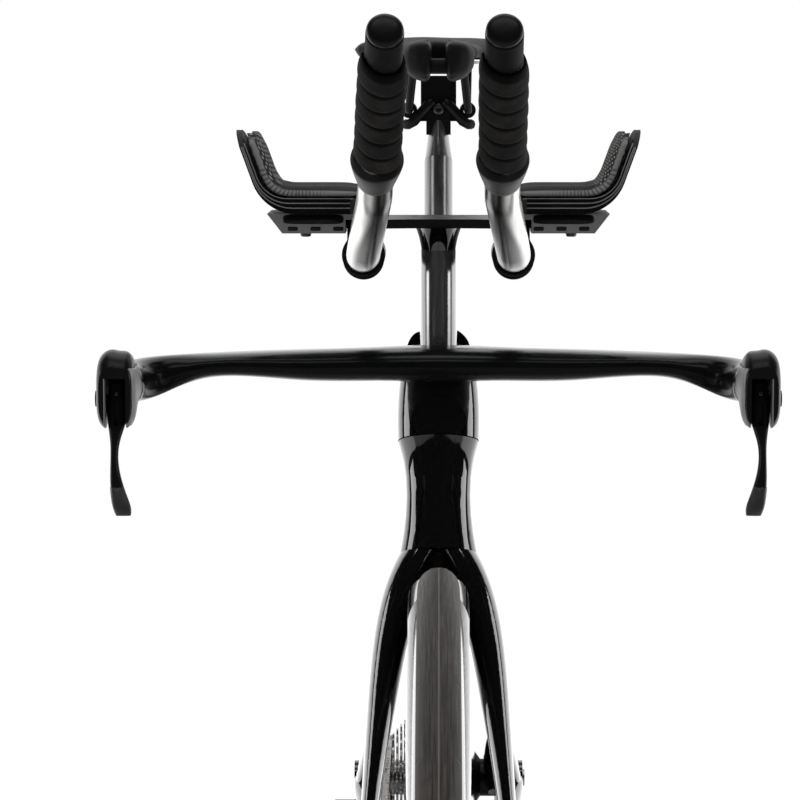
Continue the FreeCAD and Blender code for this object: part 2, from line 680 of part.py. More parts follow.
def make_sprockets(points, cage_angle):
    """Chainring, cassette and jockey wheels, each turned so that its gaps meet the rollers."""
    wheels = chain_wheels(cage_angle)
    ring_teeth, jockey_teeth = int(size["chainring_teeth"]), int(size["jockey_teeth"])
    plate = sprocket(ring_teeth, size["chainring_thickness"],
                     gap_phase(points, bracket, wheels[0][1]), size["chainring_bore"])
    solid("chainring", plate.translated(bracket + X * chain_x))
    cogs = []
    bore = size["axle_radius"] + size["running_clearance"]
    phase = gap_phase(points, rear_axle, wheels[3][1])
    for index, teeth in enumerate(COGS):
        place = -(size["cassette_outer"] - index * size["cog_spacing"])
        turn = phase if index == CHAIN_COG else index * 0.11
        cogs.append(sprocket(teeth, size["cog_thickness"], turn, bore).translated(X * place))
    core_end = -(size["rear_hub_width"] / 2 - size["hub_side_gap"])
    core_start = -(size["disc_hub_right"] + size["flange_width"] / 4 + size["hub_side_gap"])
    core = rod(at(core_end, 0, 0), at(core_start, 0, 0), size["rotor_bore"] - 1)
    core = core.cut(rod(at(core_end - 1, 0, 0), at(core_start + 1, 0, 0), bore))
    solid("cassette", core.fuse(cogs).translated(rear_axle))
    pin_bore = size["jockey_pin_radius"] + size["running_clearance"]
    for label, row in (("upper_jockey_wheel", 2), ("lower_jockey_wheel", 1)):
        centre, radius, _ = wheels[row]
        wheel = sprocket(jockey_teeth, size["chainring_thickness"], gap_phase(points, centre, radius), pin_bore)
        hub = rod(at(-3, 0, 0), at(3, 0, 0), 7).cut(rod(at(-4, 0, 0), at(4, 0, 0), pin_bore))
        solid(label, wheel.fuse(hub).translated(at(chain_x, centre.y, centre.z)))


def slab(first, second, first_radius, second_radius, low, high):
    """A plate in the YZ plane that wraps two circles, from x low to x high."""
    gap = second - first
    heading = math.atan2(gap.z, gap.y)
    swing = math.acos((first_radius - second_radius) / gap.Length)

    def spot(centre, radius, angle):
        return at(low, centre.y + radius * math.cos(angle), centre.z + radius * math.sin(angle))

    corners = [spot(first, first_radius, heading + swing), spot(first, first_radius, heading + math.pi),
               spot(first, first_radius, heading - swing), spot(second, second_radius, heading - swing),
               spot(second, second_radius, heading), spot(second, second_radius, heading + swing)]
    outline = Part.Wire([Part.Arc(*corners[:3]).toShape(), Part.makeLine(corners[2], corners[3]),
                         Part.Arc(*corners[3:]).toShape(), Part.makeLine(corners[5], corners[0])])
    return Part.Face(outline).extrude(X * (high - low))


def make_derailleur(cage_angle, frame):
    """Hanger, body and sprung cage."""
    wheels = chain_wheels(cage_angle)
    tension, guide = wheels[1][0], wheels[2][0]
    half = size["cage_gap"] / 2
    plate = size["cage_plate"]
    outside = chain_x - half - plate
    cheeks = []
    for low in (outside, chain_x + half):
        cheek = slab(guide, tension, size["knuckle_radius"], size["knuckle_radius"] * 0.8, low, low + plate)
        middle = (guide + tension) * 0.5
        cheeks.append(cheek.cut(rod(middle + X * (low - 1), middle + X * (low + plate + 1), 6)))
    pins = [rod(spot + X * outside, spot + X * (chain_x + half + plate), size["jockey_pin_radius"])
            for spot in (guide, tension)]
    solid("derailleur_cage", cheeks[0].fuse(cheeks[1:] + pins))
    face = -(size["rear_hub_width"] / 2 + size["dropout_thickness"])
    outer_face = face - size["seat_clearance"]
    hang = rear_axle + at(0, size["guide_behind"] + 4, -size["hanger_drop"])
    root = rear_axle + at(0, 2, -size["dropout_radius"] * 0.7)
    inside = face + size["hanger_thickness"]
    hanger = slab(root, hang, size["knuckle_radius"] * 0.7, size["knuckle_radius"] * 0.8, face, inside)
    solid("derailleur_hanger", biggest(hanger.cut(frame)))
    knuckle = size["knuckle_radius"]
    top = rod(hang + X * (outer_face - 18), hang + X * outer_face, knuckle)
    foot = rod(guide + X * (outer_face - 6), guide + X * (outside - size["seat_clearance"]), knuckle * 1.1)
    arms = slab(hang, guide, knuckle * 0.9, knuckle, outer_face - 14, outer_face - 2)
    motor = slab(hang + at(0, 14, -6), guide + at(0, 18, 8), 9, 11, outer_face - 17, outer_face - 3)
    solid("derailleur_body", top.fuse([foot, arms, motor]))


def make_cranks():
    """Both arms level: the right one forward with the spindle, the left one back."""
    inner, thick = size["crank_inner"], size["crank_thickness"]
    boss, end = size["crank_boss_radius"], size["pedal_boss_radius"]
    axle = size["pedal_axle_radius"]
    for name, side in SIDES.items():
        reach = at(0, size["crank_length"] * side, 0)
        arm = slab(bracket, bracket + reach, boss, end, inner, inner + thick)
        trim = [Part.makeSphere(boss * 5.2, bracket + reach * 0.5 + X * (inner + thick + boss * 4.95))]
        arm = arm.cut(trim[0])
        arm = arm.cut(rod(bracket + reach + X * (inner - 1), bracket + reach + X * (inner + thick + 1), axle))
        shape = handed(arm, side)
        if side == RIGHT:
            spindle_end = bracket + X * (inner - size["seat_clearance"])
            spindle = rod(bracket - X * inner, spindle_end, size["spindle_radius"])
            face = chain_x - size["chainring_thickness"] / 2
            carrier = rod(bracket - X * (inner + 1), bracket + X * face, size["chainring_bore"] * 1.25)
            shape = shape.fuse([spindle, carrier])
            shape = shape.removeSplitter()
        spot = bracket + reach + X * (side * (inner + thick))
        pin = rod(spot - X * (side * thick), spot + X * (side * size["pedal_axle_length"]), axle)
        solid(name + "_crank", shape, pin)
        make_pedal(name, side, spot)


def make_pedal(name, side, spot):
    """A clip-in pedal: a waisted platform that turns on its axle."""
    body = keep(new_body(name + "_pedal"), name + "_pedal")
    plan = new_sketch(body, name + "_pedal_plan", "XY_Plane")
    half = "pedal_length / 2"
    draw_corners(plan, [
        ("pedal_gap", "0 - pedal_thickness"), ("pedal_gap + pedal_width * 0.2", f"0 - {half}"),
        ("pedal_width * 0.8", f"0 - {half}"), ("pedal_gap + pedal_width", "0 - pedal_thickness * 1.6"),
        ("pedal_gap + pedal_width", "pedal_thickness * 1.6"), ("pedal_width * 0.85", "pedal_length * 0.38"),
        ("pedal_gap + pedal_width * 0.2", "pedal_length * 0.38"), ("pedal_gap", "pedal_thickness")])
    padded_sketch(body, plan, "pedal_thickness")
    window = new_sketch(body, name + "_pedal_window", "XY_Plane")
    draw_corners(window, [
        ("pedal_gap + pedal_width * 0.32", "pedal_thickness * 0.8"),
        ("pedal_gap + pedal_width * 0.72", "pedal_thickness * 0.8"),
        ("pedal_gap + pedal_width * 0.66", "pedal_length * 0.3"),
        ("pedal_gap + pedal_width * 0.36", "pedal_length * 0.3")])
    opening = body.newObject("PartDesign::Pocket", name + "_pedal_opening")
    opening.Profile = window
    opening.Type = "ThroughAll"
    opening.SideType = "Symmetric"
    bore = new_sketch(body, name + "_pedal_bore", "YZ_Plane")
    draw_circle(bore, "pedal_axle_radius + running_clearance")
    drill = body.newObject("PartDesign::Pocket", name + "_pedal_drill")
    drill.Profile = bore
    drill.Type = "ThroughAll"
    drill.SideType = "Symmetric"
    body.Tip = drill
    turn = Rotation() if side == LEFT else Rotation(UP, 180)
    body.Placement = Placement(spot, turn)


def make_bottom_bracket():
    """Two bearing cups in the shell's bore."""
    end = "shell_width / 2"
    inner = f"{end} - spindle_bearing_width"
    cups = []
    for name, side in SIDES.items():
        cups.append(turned(name + "_cup", [
            (inner, "spindle_radius + running_clearance"), (inner, "shell_bore"), (end, "shell_bore"),
            (end, "shell_bore + 3"), (f"{end} + 2", "shell_bore + 3"),
            (f"{end} + 2", "spindle_radius + running_clearance"),
        ], Placement(bracket, Rotation() if side == LEFT else Rotation(UP, 180))))
    grouped("bottom_bracket", cups)


# Frame
def head_tube():
    """An hourglass seen from the front, with a tail that runs into the tubes."""
    rows = [(0, "head_tube_foot_width"), (0.43, "head_tube_waist_width"), (0.62, "head_tube_waist_width"),
            (1, "head_tube_top_width")]
    rings = []
    for share, width in rows:
        half = size[width] / 2
        centre = steer_point(size["crown_height"] + size["head_tube_length"] * share)
        rings.append(ring(centre, steer_ahead, X, half, size["head_tube_tail"], half))
    return loft(rings)


def top_tube():
    half, width = size["top_tube_height"] / 2, size["top_tube_width"] / 2
    start = steer_point(size["crown_height"] + size["head_tube_length"] * 0.52, -25)
    end = seat_point(size["top_tube_rear_height"])
    up = X.cross(end - start).normalize()
    rows = [(0, 1.0, 1.0), (0.5, 0.92, 0.95), (1, 0.8, 0.8)]
    return loft([ring(start + (end - start) * share, up, X, half * tall, half * tall, width * wide, 2.6)
                 for share, tall, wide in rows])


def down_tube_line():
    return steer_point(size["crown_height"] + size["head_tube_length"] * 0.24, -42), bracket + at(0, 6, -4)


def down_tube():
    start, end = down_tube_line()
    ahead = (end - start).cross(X).normalize()
    half = size["down_tube_width"] / 2
    rows = [(0, 0.85), (0.3, 1.0), (0.75, 1.0), (1, 0.9)]
    return loft([ring(start + (end - start) * share, ahead, X, size["down_tube_nose"], size["down_tube_tail"],
                      half * wide, 2.2) for share, wide in rows])


def seat_tube():
    half = size["seat_tube_width"] / 2
    rows = [(bracket.z, 1.15), (bracket.z * 1.5, 1.0), (size["seat_tube_top"], 1.0)]
    return loft([ring(seat_point(height), seat_ahead, X, size["seat_tube_nose"], size["seat_tube_tail"],
                      half * wide, 2.2) for height, wide in rows])


def stays(side):
    """A chainstay, a seatstay and their dropout on one side."""
    drop_x = size["rear_hub_width"] / 2 + size["dropout_thickness"] / 2
    half, tall, deep = size["stay_width"] / 2, size["chainstay_height"] / 2, size["seatstay_depth"] / 2
    length = rear_axle.y - bracket.y
    lower = []
    for along, out, high in ((0.04, 0.3, 1.1), (0.18, 0.37, 1.1), (0.36, 0.45, 1), (0.6, 0.63, 0.9),
                             (0.84, 0.9, 0.75), (0.97, 1.0, 0.6)):
        rise = (rear_axle.z - bracket.z) * along
        centre = at(drop_x * out * side, bracket.y + length * along, bracket.z + rise)
        lower.append(ring(centre, UP, X, tall * high, tall * high, half * (0.42 if out == 1 else 1), 2.6))
    top = seat_point(size["seatstay_join"])
    end = rear_axle + at(0, -26, 4)
    upper = []
    for along, out in ((0, 0.16), (0.17, 0.31), (0.38, 0.45), (0.75, 0.74), (1, 0.94)):
        centre = top + (end - top) * along
        heading = X.cross(end - top).normalize()
        beside = at(drop_x * out * side, centre.y, centre.z)
        upper.append(ring(beside, heading, X, deep, deep, half * 0.85, 2.6))
    face = size["rear_hub_width"] / 2
    plate = rod(rear_axle + X * (face * side), rear_axle + X * ((face + size["dropout_thickness"]) * side),
                size["dropout_radius"])
    return [loft(lower), loft(upper), plate]


def bottle_points():
    """The two bosses on the inner side of the down tube, with their outward direction."""
    start, end = down_tube_line()
    along = (end - start).normalize()
    outward = X.cross(end - start).normalize()
    middle = start + along * size["bottle_place"]
    spots = [middle + along * (size["bottle_spacing"] * share) for share in (-0.5, 0.5)]
    return [spot + outward * size["down_tube_tail"] for spot in spots], outward


def post_section(height, clearance=0.0):
    half_chord = size["post_chord"] / 2 + clearance
    half_width = size["post_width"] / 2 + clearance
    return ring(seat_point(height), seat_ahead, X, half_chord, half_chord, half_width, 2.2)


def frame_shape():
    tubes = [top_tube(), down_tube(), seat_tube()] + stays(LEFT) + stays(RIGHT)
    half_shell = X * (size["shell_width"] / 2)
    tubes.append(rod(bracket - half_shell, bracket + half_shell, size["shell_radius"]))
    body = head_tube().fuse(tubes)
    foot, crown = head_top, size["crown_height"]
    bores = [rod(steer_point(crown - 60), steer_point(foot + 60), size["head_bore"]),
             rod(steer_point(crown - 60), steer_point(crown + size["bearing_height"]), size["bearing_outer"]),
             rod(steer_point(foot - size["bearing_height"]), steer_point(foot + 60), size["bearing_outer"]),
             rod(steer_point(crown - 80), steer_point(crown), size["crown_room"]),
             rod(bracket - half_shell * 2, bracket + half_shell * 2, size["shell_bore"])]
    hub = X * size["rear_hub_width"]
    bores.append(rod(rear_axle - hub, rear_axle + hub, size["axle_radius"] + size["running_clearance"]))
    clear = size["seat_clearance"]
    bottom = size["seat_tube_top"] - size["post_depth"] - 70
    bores.append(loft([post_section(bottom, clear), post_section(size["seat_tube_top"] + 20, clear)]))
    spots, outward = bottle_points()
    for spot in spots:
        bores.append(rod(spot - outward * size["bottle_depth"], spot + outward * 10, size["bottle_bore"]))
    side = size["rear_hub_width"] / 2
    bores.append(Part.makeCylinder(size["dropout_radius"] * 1.8, 2 * side, rear_axle - X * side, X))
    return body.cut(bores)


def make_headset():
    bearings = []
    for label, along in (("lower_bearing", size["crown_height"]),
                         ("upper_bearing", head_top - size["bearing_height"])):
        bearings.append(turned(label, [
            ("0", "steerer_radius + running_clearance"), ("0", "bearing_outer"),
            ("bearing_height", "bearing_outer"),
            ("bearing_height", "steerer_radius + running_clearance"),
        ], Placement(steer_point(along), Rotation(X, steer_up))))
    grouped("headset_bearings", bearings)


def box_section(back, inset, top_inset):
    """One rounded section of the storage box; it narrows towards its front and rear."""
    share = back / size["box_length"]
    front = steer_point(stem_top).y + size["box_front_gap"]
    top = size["box_top"] - size["box_fall"] * share
    floor = 700.0
    width = size["box_width"] / 2 * (1 - 0.16 * (2 * share - 0.9) ** 2)
    middle = (top + floor) / 2
    above = top - middle - top_inset
    return ring(at(0, front + back, middle), UP, X, above, middle - floor, width - inset, 4.5)


def make_storage(frame):
    """A hollow box on the top tube with a hinged lid."""
    length, wall = size["box_length"], size["box_wall"]
    stations = [length * share for share in (0, 0.12, 0.5, 0.88, 1)]
    outside = loft([box_section(back, 0, 0) for back in stations])
    inside = loft([box_section(back, wall, wall) for back in (length * 0.12, length * 0.5, length * 0.88)])
    front = steer_point(stem_top).y + size["box_front_gap"]
    slope = math.atan2(size["box_fall"], length)

    def above(drop):
        """Everything above a plane that lies a drop below the sloping top."""
        block = Part.makeBox(400, 600, 200, at(-200, -100, 0))
        block.rotate(at(0, 0, 0), X, -math.degrees(slope))
        return block.translated(at(0, front, size["box_top"] - drop))

    floor = Part.makeBox(400, 600, 400, at(-200, front - 100, bracket.z))
    level = size["top_tube_rear_height"] + size["top_tube_height"] * 0.75
    floor = floor.translated(at(0, 0, level - bracket.z - 400))
    lid = outside.common(above(size["lid_thickness"])).cut(inside)
    box = outside.cut(above(size["lid_thickness"] + size["lid_gap"])).cut(inside.cut(floor)).cut(frame)
    hinge = at(0, front + length, size["box_top"] - size["box_fall"] - size["lid_thickness"])
    reach, slack = X * (size["lid_hinge_width"] / 2), size["running_clearance"]
    seat = rod(hinge - reach - X * slack, hinge + reach + X * slack, size["lid_hinge_radius"] + slack)
    solid("storage_box", biggest(box.cut(seat)))
    solid("storage_lid", lid.fuse(rod(hinge - reach, hinge + reach, size["lid_hinge_radius"])))


# Seatpost and saddle
def seatpost_shape():
    head, top = size["post_head"], size["seat_tube_top"]
    straight = loft([post_section(top - size["post_depth"]), post_section(head - 26)])
    neck = [ring(seat_point(head - 26), seat_ahead, X, size["post_chord"] / 2, size["post_chord"] / 2,
                 size["post_width"] / 2, 2.2),
            ring(seat_point(head - 8), seat_ahead, X, 24, 24, size["post_width"] * 0.38),
            ring(seat_point(head + 4), seat_ahead, X, 20, 20, size["post_width"] * 0.34)]
    return straight.fuse(loft(neck))


def saddle_row(share):
    """Half width and depth of the saddle at a share of its length, rounded off at both ends."""
    nose, full = size["saddle_nose_width"] / 2, size["saddle_width"] / 2
    flare = max(0.0, min(1.0, (share - 0.3) / 0.6))
    ease = flare ** 2 * (3 - 2 * flare)
    depth = size["saddle_nose_depth"] + (size["saddle_rear_depth"] - size["saddle_nose_depth"]) * ease
    reach = min(share / 0.08, (1 - share) / 0.07, 1.0)
    rounding = math.sqrt(1 - (1 - reach) ** 2)
    return (nose + (full - nose) * ease) * rounding, depth * rounding


def saddle_section(share):
    width, depth = saddle_row(share)
    full_drop = size["saddle_nose_depth"] * 0.4
    rise = depth * 0.42
    y = saddle_nose + size["saddle_length"] * share
    low = full_drop if depth < size["saddle_rear_depth"] else rise
    return ring(at(0, y, size["saddle_top"] - low), UP, X, rise, depth - rise, width, 2.7)


def make_saddle(post):
    """Split-nose padding on a thin shell, with two rails."""
    shares = (0.003, 0.02, 0.08, 0.3, 0.5, 0.72, 0.93, 0.985, 0.998)
    body = loft([saddle_section(share) for share in shares])
    nose, length = saddle_nose, size["saddle_length"]
    channel = size["saddle_channel"] / 2
    slot_end = nose + length * 0.66
    depth = size["saddle_top"] - 90
    slot = Part.makeBox(2 * channel, slot_end - nose + 40, 120, at(-channel, nose - 40, depth))
    slot = slot.fuse(Part.makeCylinder(channel, 120, at(0, slot_end, depth)))
    base = size["saddle_top"] - size["saddle_rear_depth"] * 0.8
    under = Part.makeBox(300, length + 80, 80, at(-150, nose + length * 0.15, base - 80))
    solid("saddle_pad", body.cut([slot, under]))
    shell_floor = base - size["seat_clearance"] - size["shell_thickness"]
    layer = Part.makeBox(300, length, size["shell_thickness"],
                         at(-150, nose + length * 0.15 + size["seat_clearance"], shell_floor))
    solid("saddle_shell", biggest(body.cut(slot).common(layer)))
    make_rails(shell_floor, post)


def make_rails(shell_floor, post):
    """Rails that run from the shell's nose to its tail with a level middle."""
    half = size["rail_spread"] / 2
    radius = size["rail_radius"]
    nose, length = saddle_nose, size["saddle_length"]
    low = size["rail_height"]
    rails = []
    for side in (LEFT, RIGHT):
        route = [at(half * 0.82 * side, nose + length * 0.24, shell_floor),
                 at(half * side, nose + length * 0.35, low),
                 at(half * side, nose + length * 0.7, low),
                 at(half * 1.05 * side, nose + length * 0.86, shell_floor)]
        rails.append(pipe(rounded_route(route, radius * 3), radius))
    solid("saddle_rails", *[rail.cut(shell_block(shell_floor)) for rail in rails])
    make_rail_clamp(post)


def shell_block(shell_floor):
    return Part.makeBox(400, 600, 100, at(-200, 0, shell_floor - size["seat_clearance"]))


def make_rail_clamp(post):
    """Cradle and caps that hold both rails on the post's head."""
    half = size["rail_spread"] / 2
    y = seat_point(size["post_head"]).y
    low = size["rail_height"]
    grip = size["rail_radius"] + size["seat_clearance"]
    ends = [rod(at(half * side, y - 19, low), at(half * side, y + 19, low), 6.5) for side in (LEFT, RIGHT)]
    bridge = Part.makeBox(size["rail_spread"], 30, 9, at(-half, y - 15, low - 9))
    clamp = bridge.fuse(ends)
    for side in (LEFT, RIGHT):
        clamp = clamp.cut(rod(at(half * side, y - 60, low), at(half * side, y + 60, low), grip))
    post_top = seat_point(size["post_head"] + 4)
    core = Part.makeBox(20, 36, low - post_top.z + 8, at(-10, y - 18, post_top.z - 8)).fuse(clamp)
    core = core.fuse(Part.makeBox(29, 26, size["rail_rise"], at(-14.5, y - 13, low - 4)))
    solid("rail_clamp", biggest(core.removeSplitter().cut(post)))


# Fork and front brake
def fork_leg(side):
    """One blade from the crown to its dropout."""
    crown = size["crown_height"]
    hub = size["front_hub_width"] / 2
    chord = size["fork_blade_chord"]
    outer_drop = hub + size["fork_dropout_thickness"]
    rows = [
        (0, -4, size["head_tube_foot_width"] / 2, size["head_tube_foot_width"] / chord, 2.0),
        (size["fork_shoulder_drop"], 12, size["fork_shoulder_width"] / 2, 1.12, 2.2),
        (size["fork_knee_drop"], size["fork_knee_gap"] / 2, size["fork_knee_width"] / 2, 1.0, 2.2),
        (size["fork_leg_drop"], size["fork_leg_gap"] / 2, size["fork_leg_width"] / 2, 0.94, 2.2),
        (crown * 0.7, hub * 0.82, outer_drop * 0.92, 0.76, 2.2),
        (crown * 0.97, hub, outer_drop, 0.5, 2.2),
    ]
    rings = []
    for drop, inner, outer, reach, shape in rows:
        ahead = size["fork_rake"] * drop / crown
        centre = steer_point(crown - drop, ahead, (inner + outer) / 2 * side)
        tail = 0.56 if drop else 0.54
        rings.append(ring(centre, steer_ahead, X, chord * reach * (1 - tail), chord * reach * tail,
                          (outer - inner) / 2, shape))
    plate_ends = front_axle + X * (hub * side), front_axle + X * (outer_drop * side)
    plate = rod(*plate_ends, size["fork_dropout_radius"])
    return loft(rings).fuse(plate)


def wheel_slot(axle, gap):
    """The space that a turning wheel needs, rounded over the tread."""
    half = size["tyre_width"] / 2 + gap
    reach = wheel_radius + gap * 0.75
    disc = Part.makeCylinder(reach - half, 2 * half, axle - X * half, X)
    tread = Part.makeTorus(reach - half, half, axle, X)
    return disc.fuse(tread)


def fork_shape():
    crown = size["crown_height"]
    legs = fork_leg(LEFT).fuse(fork_leg(RIGHT))
    hub = X * size["front_hub_width"]
    legs = legs.cut([wheel_slot(front_axle, size["wheel_slot_gap"]),
                     rod(front_axle - hub, front_axle + hub, size["axle_radius"] + size["running_clearance"])])
    inside = X * (size["front_hub_width"] / 2)
    legs = legs.cut(rod(front_axle - inside, front_axle + inside, size["fork_dropout_radius"] * 1.9))
    steerer = rod(steer_point(crown - 12), steer_point(stem_top), size["steerer_radius"])
    above = rod(steer_point(crown - size["face_gap"]), steer_point(crown + 40), 120)
    return legs.cut(above).fuse(steerer)


def caliper(axle, offset, angle, neighbour):
    """A two-piston caliper over the rotor's rim, with a slot for the rotor."""
    radius = size["rotor_radius"]
    out = at(0, math.cos(angle), math.sin(angle))
    tangent = X.cross(out)
    centre = axle + out * (radius - 8) + X * size[offset]
    rings = [ring(centre + tangent * place, out, X, 20 * scale, 13 * scale, 10.5 * scale, 3.2)
             for place, scale in ((-26, 0.8), (-18, 1), (18, 1), (26, 0.8))]
    body = loft(rings)
    half = size["rotor_thickness"] / 2 + size["caliper_gap"]
    slot = Part.makeCylinder(radius + size["caliper_gap"], 2 * half, axle + X * (size[offset] - half), X)
    pistons = [rod(centre + X * (8.5 * way), centre + X * (12.5 * way), 8) for way in (LEFT, RIGHT)]
    return biggest(body.fuse(pistons).cut([slot, neighbour]))


# Cockpit
def bar_section(x, y, z, heading, nose, tail, half):
    """A section of the base bar; heading turns from across to forward round the bend."""
    ahead = at(-math.sin(heading) * math.copysign(1, x), -math.cos(heading), 0)
    return ring(at(x, y, z), ahead, UP, nose, tail, half, 2.2)


def base_bar_shape():
    """A wing from grip to grip, bent forward at each end, with a deep seat in the middle."""
    y, z = behind_axle("bar_centre"), size["bar_height"]
    half, thin = size["bar_thickness"] / 2, size["bar_tip_thickness"] / 2
    reach, bend = size["bar_spread"] / 2, size["bar_bend"]
    wide, tall = size["grip_width"] / 2, size["grip_height"] / 2
    lower = z - 7
    turn = bend * (1 - math.sqrt(0.5))
    rows = [(reach, behind_axle("grip_front"), z - 3.5, 1.0, wide, wide, tall * 0.95),
            (reach, (behind_axle("grip_front") + y - bend) / 2, z - 5, 1.0, wide, wide, tall),
            (reach, y - 5 - bend, lower, 1.0, wide * 1.05, wide * 1.05, tall),
            (reach - turn, y - 5 - turn, z - 6.5, 0.5, 15, 15, tall),
            (reach - bend, y - 5, z - 0.8, 0.0, 20, 23, thin),
            (reach * 0.45, y - 2, z, 0.0, 24, 30, half * 0.88),
            (reach * 0.2, y, z + 0.3, 0.0, 26, 36, half * 0.96),
            (reach * 0.09, y, z + 0.3, 0.0, 26, 56, half)]
    quarter = math.pi / 2
    left = [bar_section(-x, b, c, quarter * d, n, t, h) for x, b, c, d, n, t, h in rows]
    right = [bar_section(x, b, c, quarter * d, n, t, h) for x, b, c, d, n, t, h in reversed(rows)]
    return loft(left + right)


def riser_section(height, scale=1.0):
    chord = size["riser_chord"] / 2
    axis_y = steer_point((size["riser_seam"] - steer_base.z) / steer_up.z).y
    half_width = size["riser_width"] / 2 * scale
    return ring(at(0, axis_y, height), FORWARD, X, chord * scale, chord * scale, half_width, 2.3)


def make_stem_and_risers(bar):
    """The stem under the base bar and the stacked risers on it."""
    half = size["head_tube_top_width"] / 2
    rings = [ring(steer_point(along), steer_ahead, X, half * scale, half * scale, half * scale, 2.1)
             for along, scale in ((head_top + size["face_gap"], 1.0), (stem_top, 1.0), (stem_top + 24, 0.9))]
    bore_radius = size["steerer_radius"] + size["running_clearance"]
    bore = rod(steer_point(head_top - 5), steer_point(stem_top), bore_radius)
    solid("stem", biggest(loft(rings).cut([bore, bar])))
    seam, top = size["riser_seam"], bridge_level
    cap = size["riser_cap_height"]
    lower = loft([riser_section(size["bar_height"]), riser_section(seam)]).cut(bar)
    solid("lower_riser", max(lower.Solids, key=lambda piece: piece.CenterOfMass.z))
    solid("upper_riser", loft([riser_section(seam), riser_section(top - cap)]))
    solid("riser_cap", loft([riser_section(top - cap, 1.0), riser_section(top - cap * 0.5, 1.12),
                             riser_section(top, 1.35)]))


def make_bridge():
    """The plate that ties the extension clamps to the riser."""
    body = keep(new_body("bridge_plate"), "bridge_plate")
    plan = new_sketch(body, "bridge_plan")
    draw_corners(plan, [
        ("0 - bridge_width / 2", "0 - bridge_depth / 2 + 6"),
        ("0 - bridge_width / 2 + 10", "0 - bridge_depth / 2"),
        ("0 - bridge_width * 0.16", "0 - bridge_depth / 2 + 7"),
        ("bridge_width * 0.16", "0 - bridge_depth / 2 + 7"),
        ("bridge_width / 2 - 10", "0 - bridge_depth / 2"), ("bridge_width / 2", "0 - bridge_depth / 2 + 6"),
        ("bridge_width / 2", "bridge_depth / 2 - 12"), ("bridge_width / 2 - 14", "bridge_depth / 2"),
        ("0 - bridge_width / 2 + 14", "bridge_depth / 2"), ("0 - bridge_width / 2", "bridge_depth / 2 - 12")])
    plate = padded_sketch(body, plan, "bridge_thickness")
    holes = new_sketch(body, "bridge_holes")
    draw_circle(holes, "bottle_bore", "bottle_spacing / 4", "bridge_depth / 2 - 16")
    draw_circle(holes, "bottle_bore", "0 - bottle_spacing / 4", "bridge_depth / 2 - 16")
    drill = body.newObject("PartDesign::Pocket", "bridge_drill")
    drill.Profile = holes
    drill.Type = "ThroughAll"
    drill.SideType = "Symmetric"
    doc.recompute()
    edges = [f"Edge{index}" for index, edge in enumerate(drill.Shape.Edges, start=1)
             if abs(edge.tangentAt(edge.FirstParameter).z) > 0.9 and edge.Curve.TypeId == "Part::GeomLine"]
    corners = body.newObject("PartDesign::Fillet", "bridge_corners")
    corners.Base = (drill, edges)
    corners.Radius = 5
    body.Tip = corners
    middle = bridge_level + size["bridge_thickness"] / 2
    centre = at(0, behind_axle("bridge_front") + size["bridge_depth"] / 2, middle)
    body.Placement = Placement(centre, Rotation())


def extension_points(side):
    wide, knee = size["extension_spread"] / 2 * side, size["knee_side"] * side
    tip = size["left_tip_side"] if side == LEFT else -size["right_tip_side"]
    low = size["extension_height"]
    return [at(wide, behind_axle("extension_rear"), low), at(wide, behind_axle("extension_bend"), low),
            at(knee, behind_axle("extension_knee"), low + size["extension_knee_height"]),
            at(tip, behind_axle("extension_tip"), low + size["extension_tip_height"])]


def make_extension(name, side):
    """A bent carbon tube, its clamp, its winding of tape and its shifter."""
    points = extension_points(side)
    route = rounded_route(points, size["extension_bend_radius"])
    radius = size["extension_radius"]
    tube = pipe(route, radius).cut(pipe(route, radius - size["extension_wall"]))
    solid(name + "_extension", tube)
    heading = (points[3] - points[2]).normalize()
    tip = points[3]
    make_tape(name, tip, heading)
    make_shifter(name, tip, heading)
    return extension_clamp(points[1])


def extension_clamp(bend):
    radius = size["extension_radius"]
    outer = radius + size["clamp_wall"]
    front = at(bend.x, behind_axle("clamp_front"), bend.z)
    back = front + at(0, size["clamp_length"], 0)
    block = Part.makeBox(1.5 * outer, size["clamp_length"], bridge_level - bend.z,
                         front + at(-0.75 * outer, 0, 0))
    bore = rod(front - at(0, 5, 0), back + at(0, 5, 0), radius + size["running_clearance"])
    return rod(front, back, outer).fuse(block).cut(bore)


def make_tape(name, tip, heading):
    """Tape wound in overlapping turns; each turn's rear edge lies over the turn behind it."""
    pitch, turns, wide = size["tape_pitch"], int(size["tape_turns"]), size["tape_width"]
    thick, rise = size["tape_thickness"], size["tape_rise"]
    inner = size["extension_radius"] + size["seat_clearance"]
    helix = Part.makeHelix(pitch, pitch * turns, inner)
    corners = [at(inner, 0, wide / 2), at(inner + thick, 0, wide / 2),
               at(inner + rise + thick, 0, -wide / 2), at(inner + rise, 0, -wide / 2)]
    section = Part.makePolygon(corners + corners[:1])
    sweep = Part.BRepOffsetAPI.MakePipeShell(Part.Wire(helix.Edges))
    sweep.setBiNormalMode(UP)
    sweep.add(section)
    sweep.build()
    sweep.makeSolid()
    ribbon = sweep.shape()
    overlap_gap = rise * pitch / wide - thick
    print(f"{name} tape: least gap between turns {overlap_gap:.2f} mm")
    length = pitch * turns + wide
    start = tip - heading * (length - wide / 2 + size["running_clearance"])
    turn = Rotation(UP, heading)
    ribbon.Placement = Placement(start, turn)
    end = inner + rise + thick
    low = -wide / 2 - size["seat_clearance"]
    band = Part.makeCone(inner + 0.4, end, size["tape_band_length"], at(0, 0, low - size["tape_band_length"]))
    band = band.cut(Part.makeCylinder(inner, 200, at(0, 0, -100)))
    band.Placement = Placement(start, turn)
    solid(name + "_grip_tape", ribbon, band)


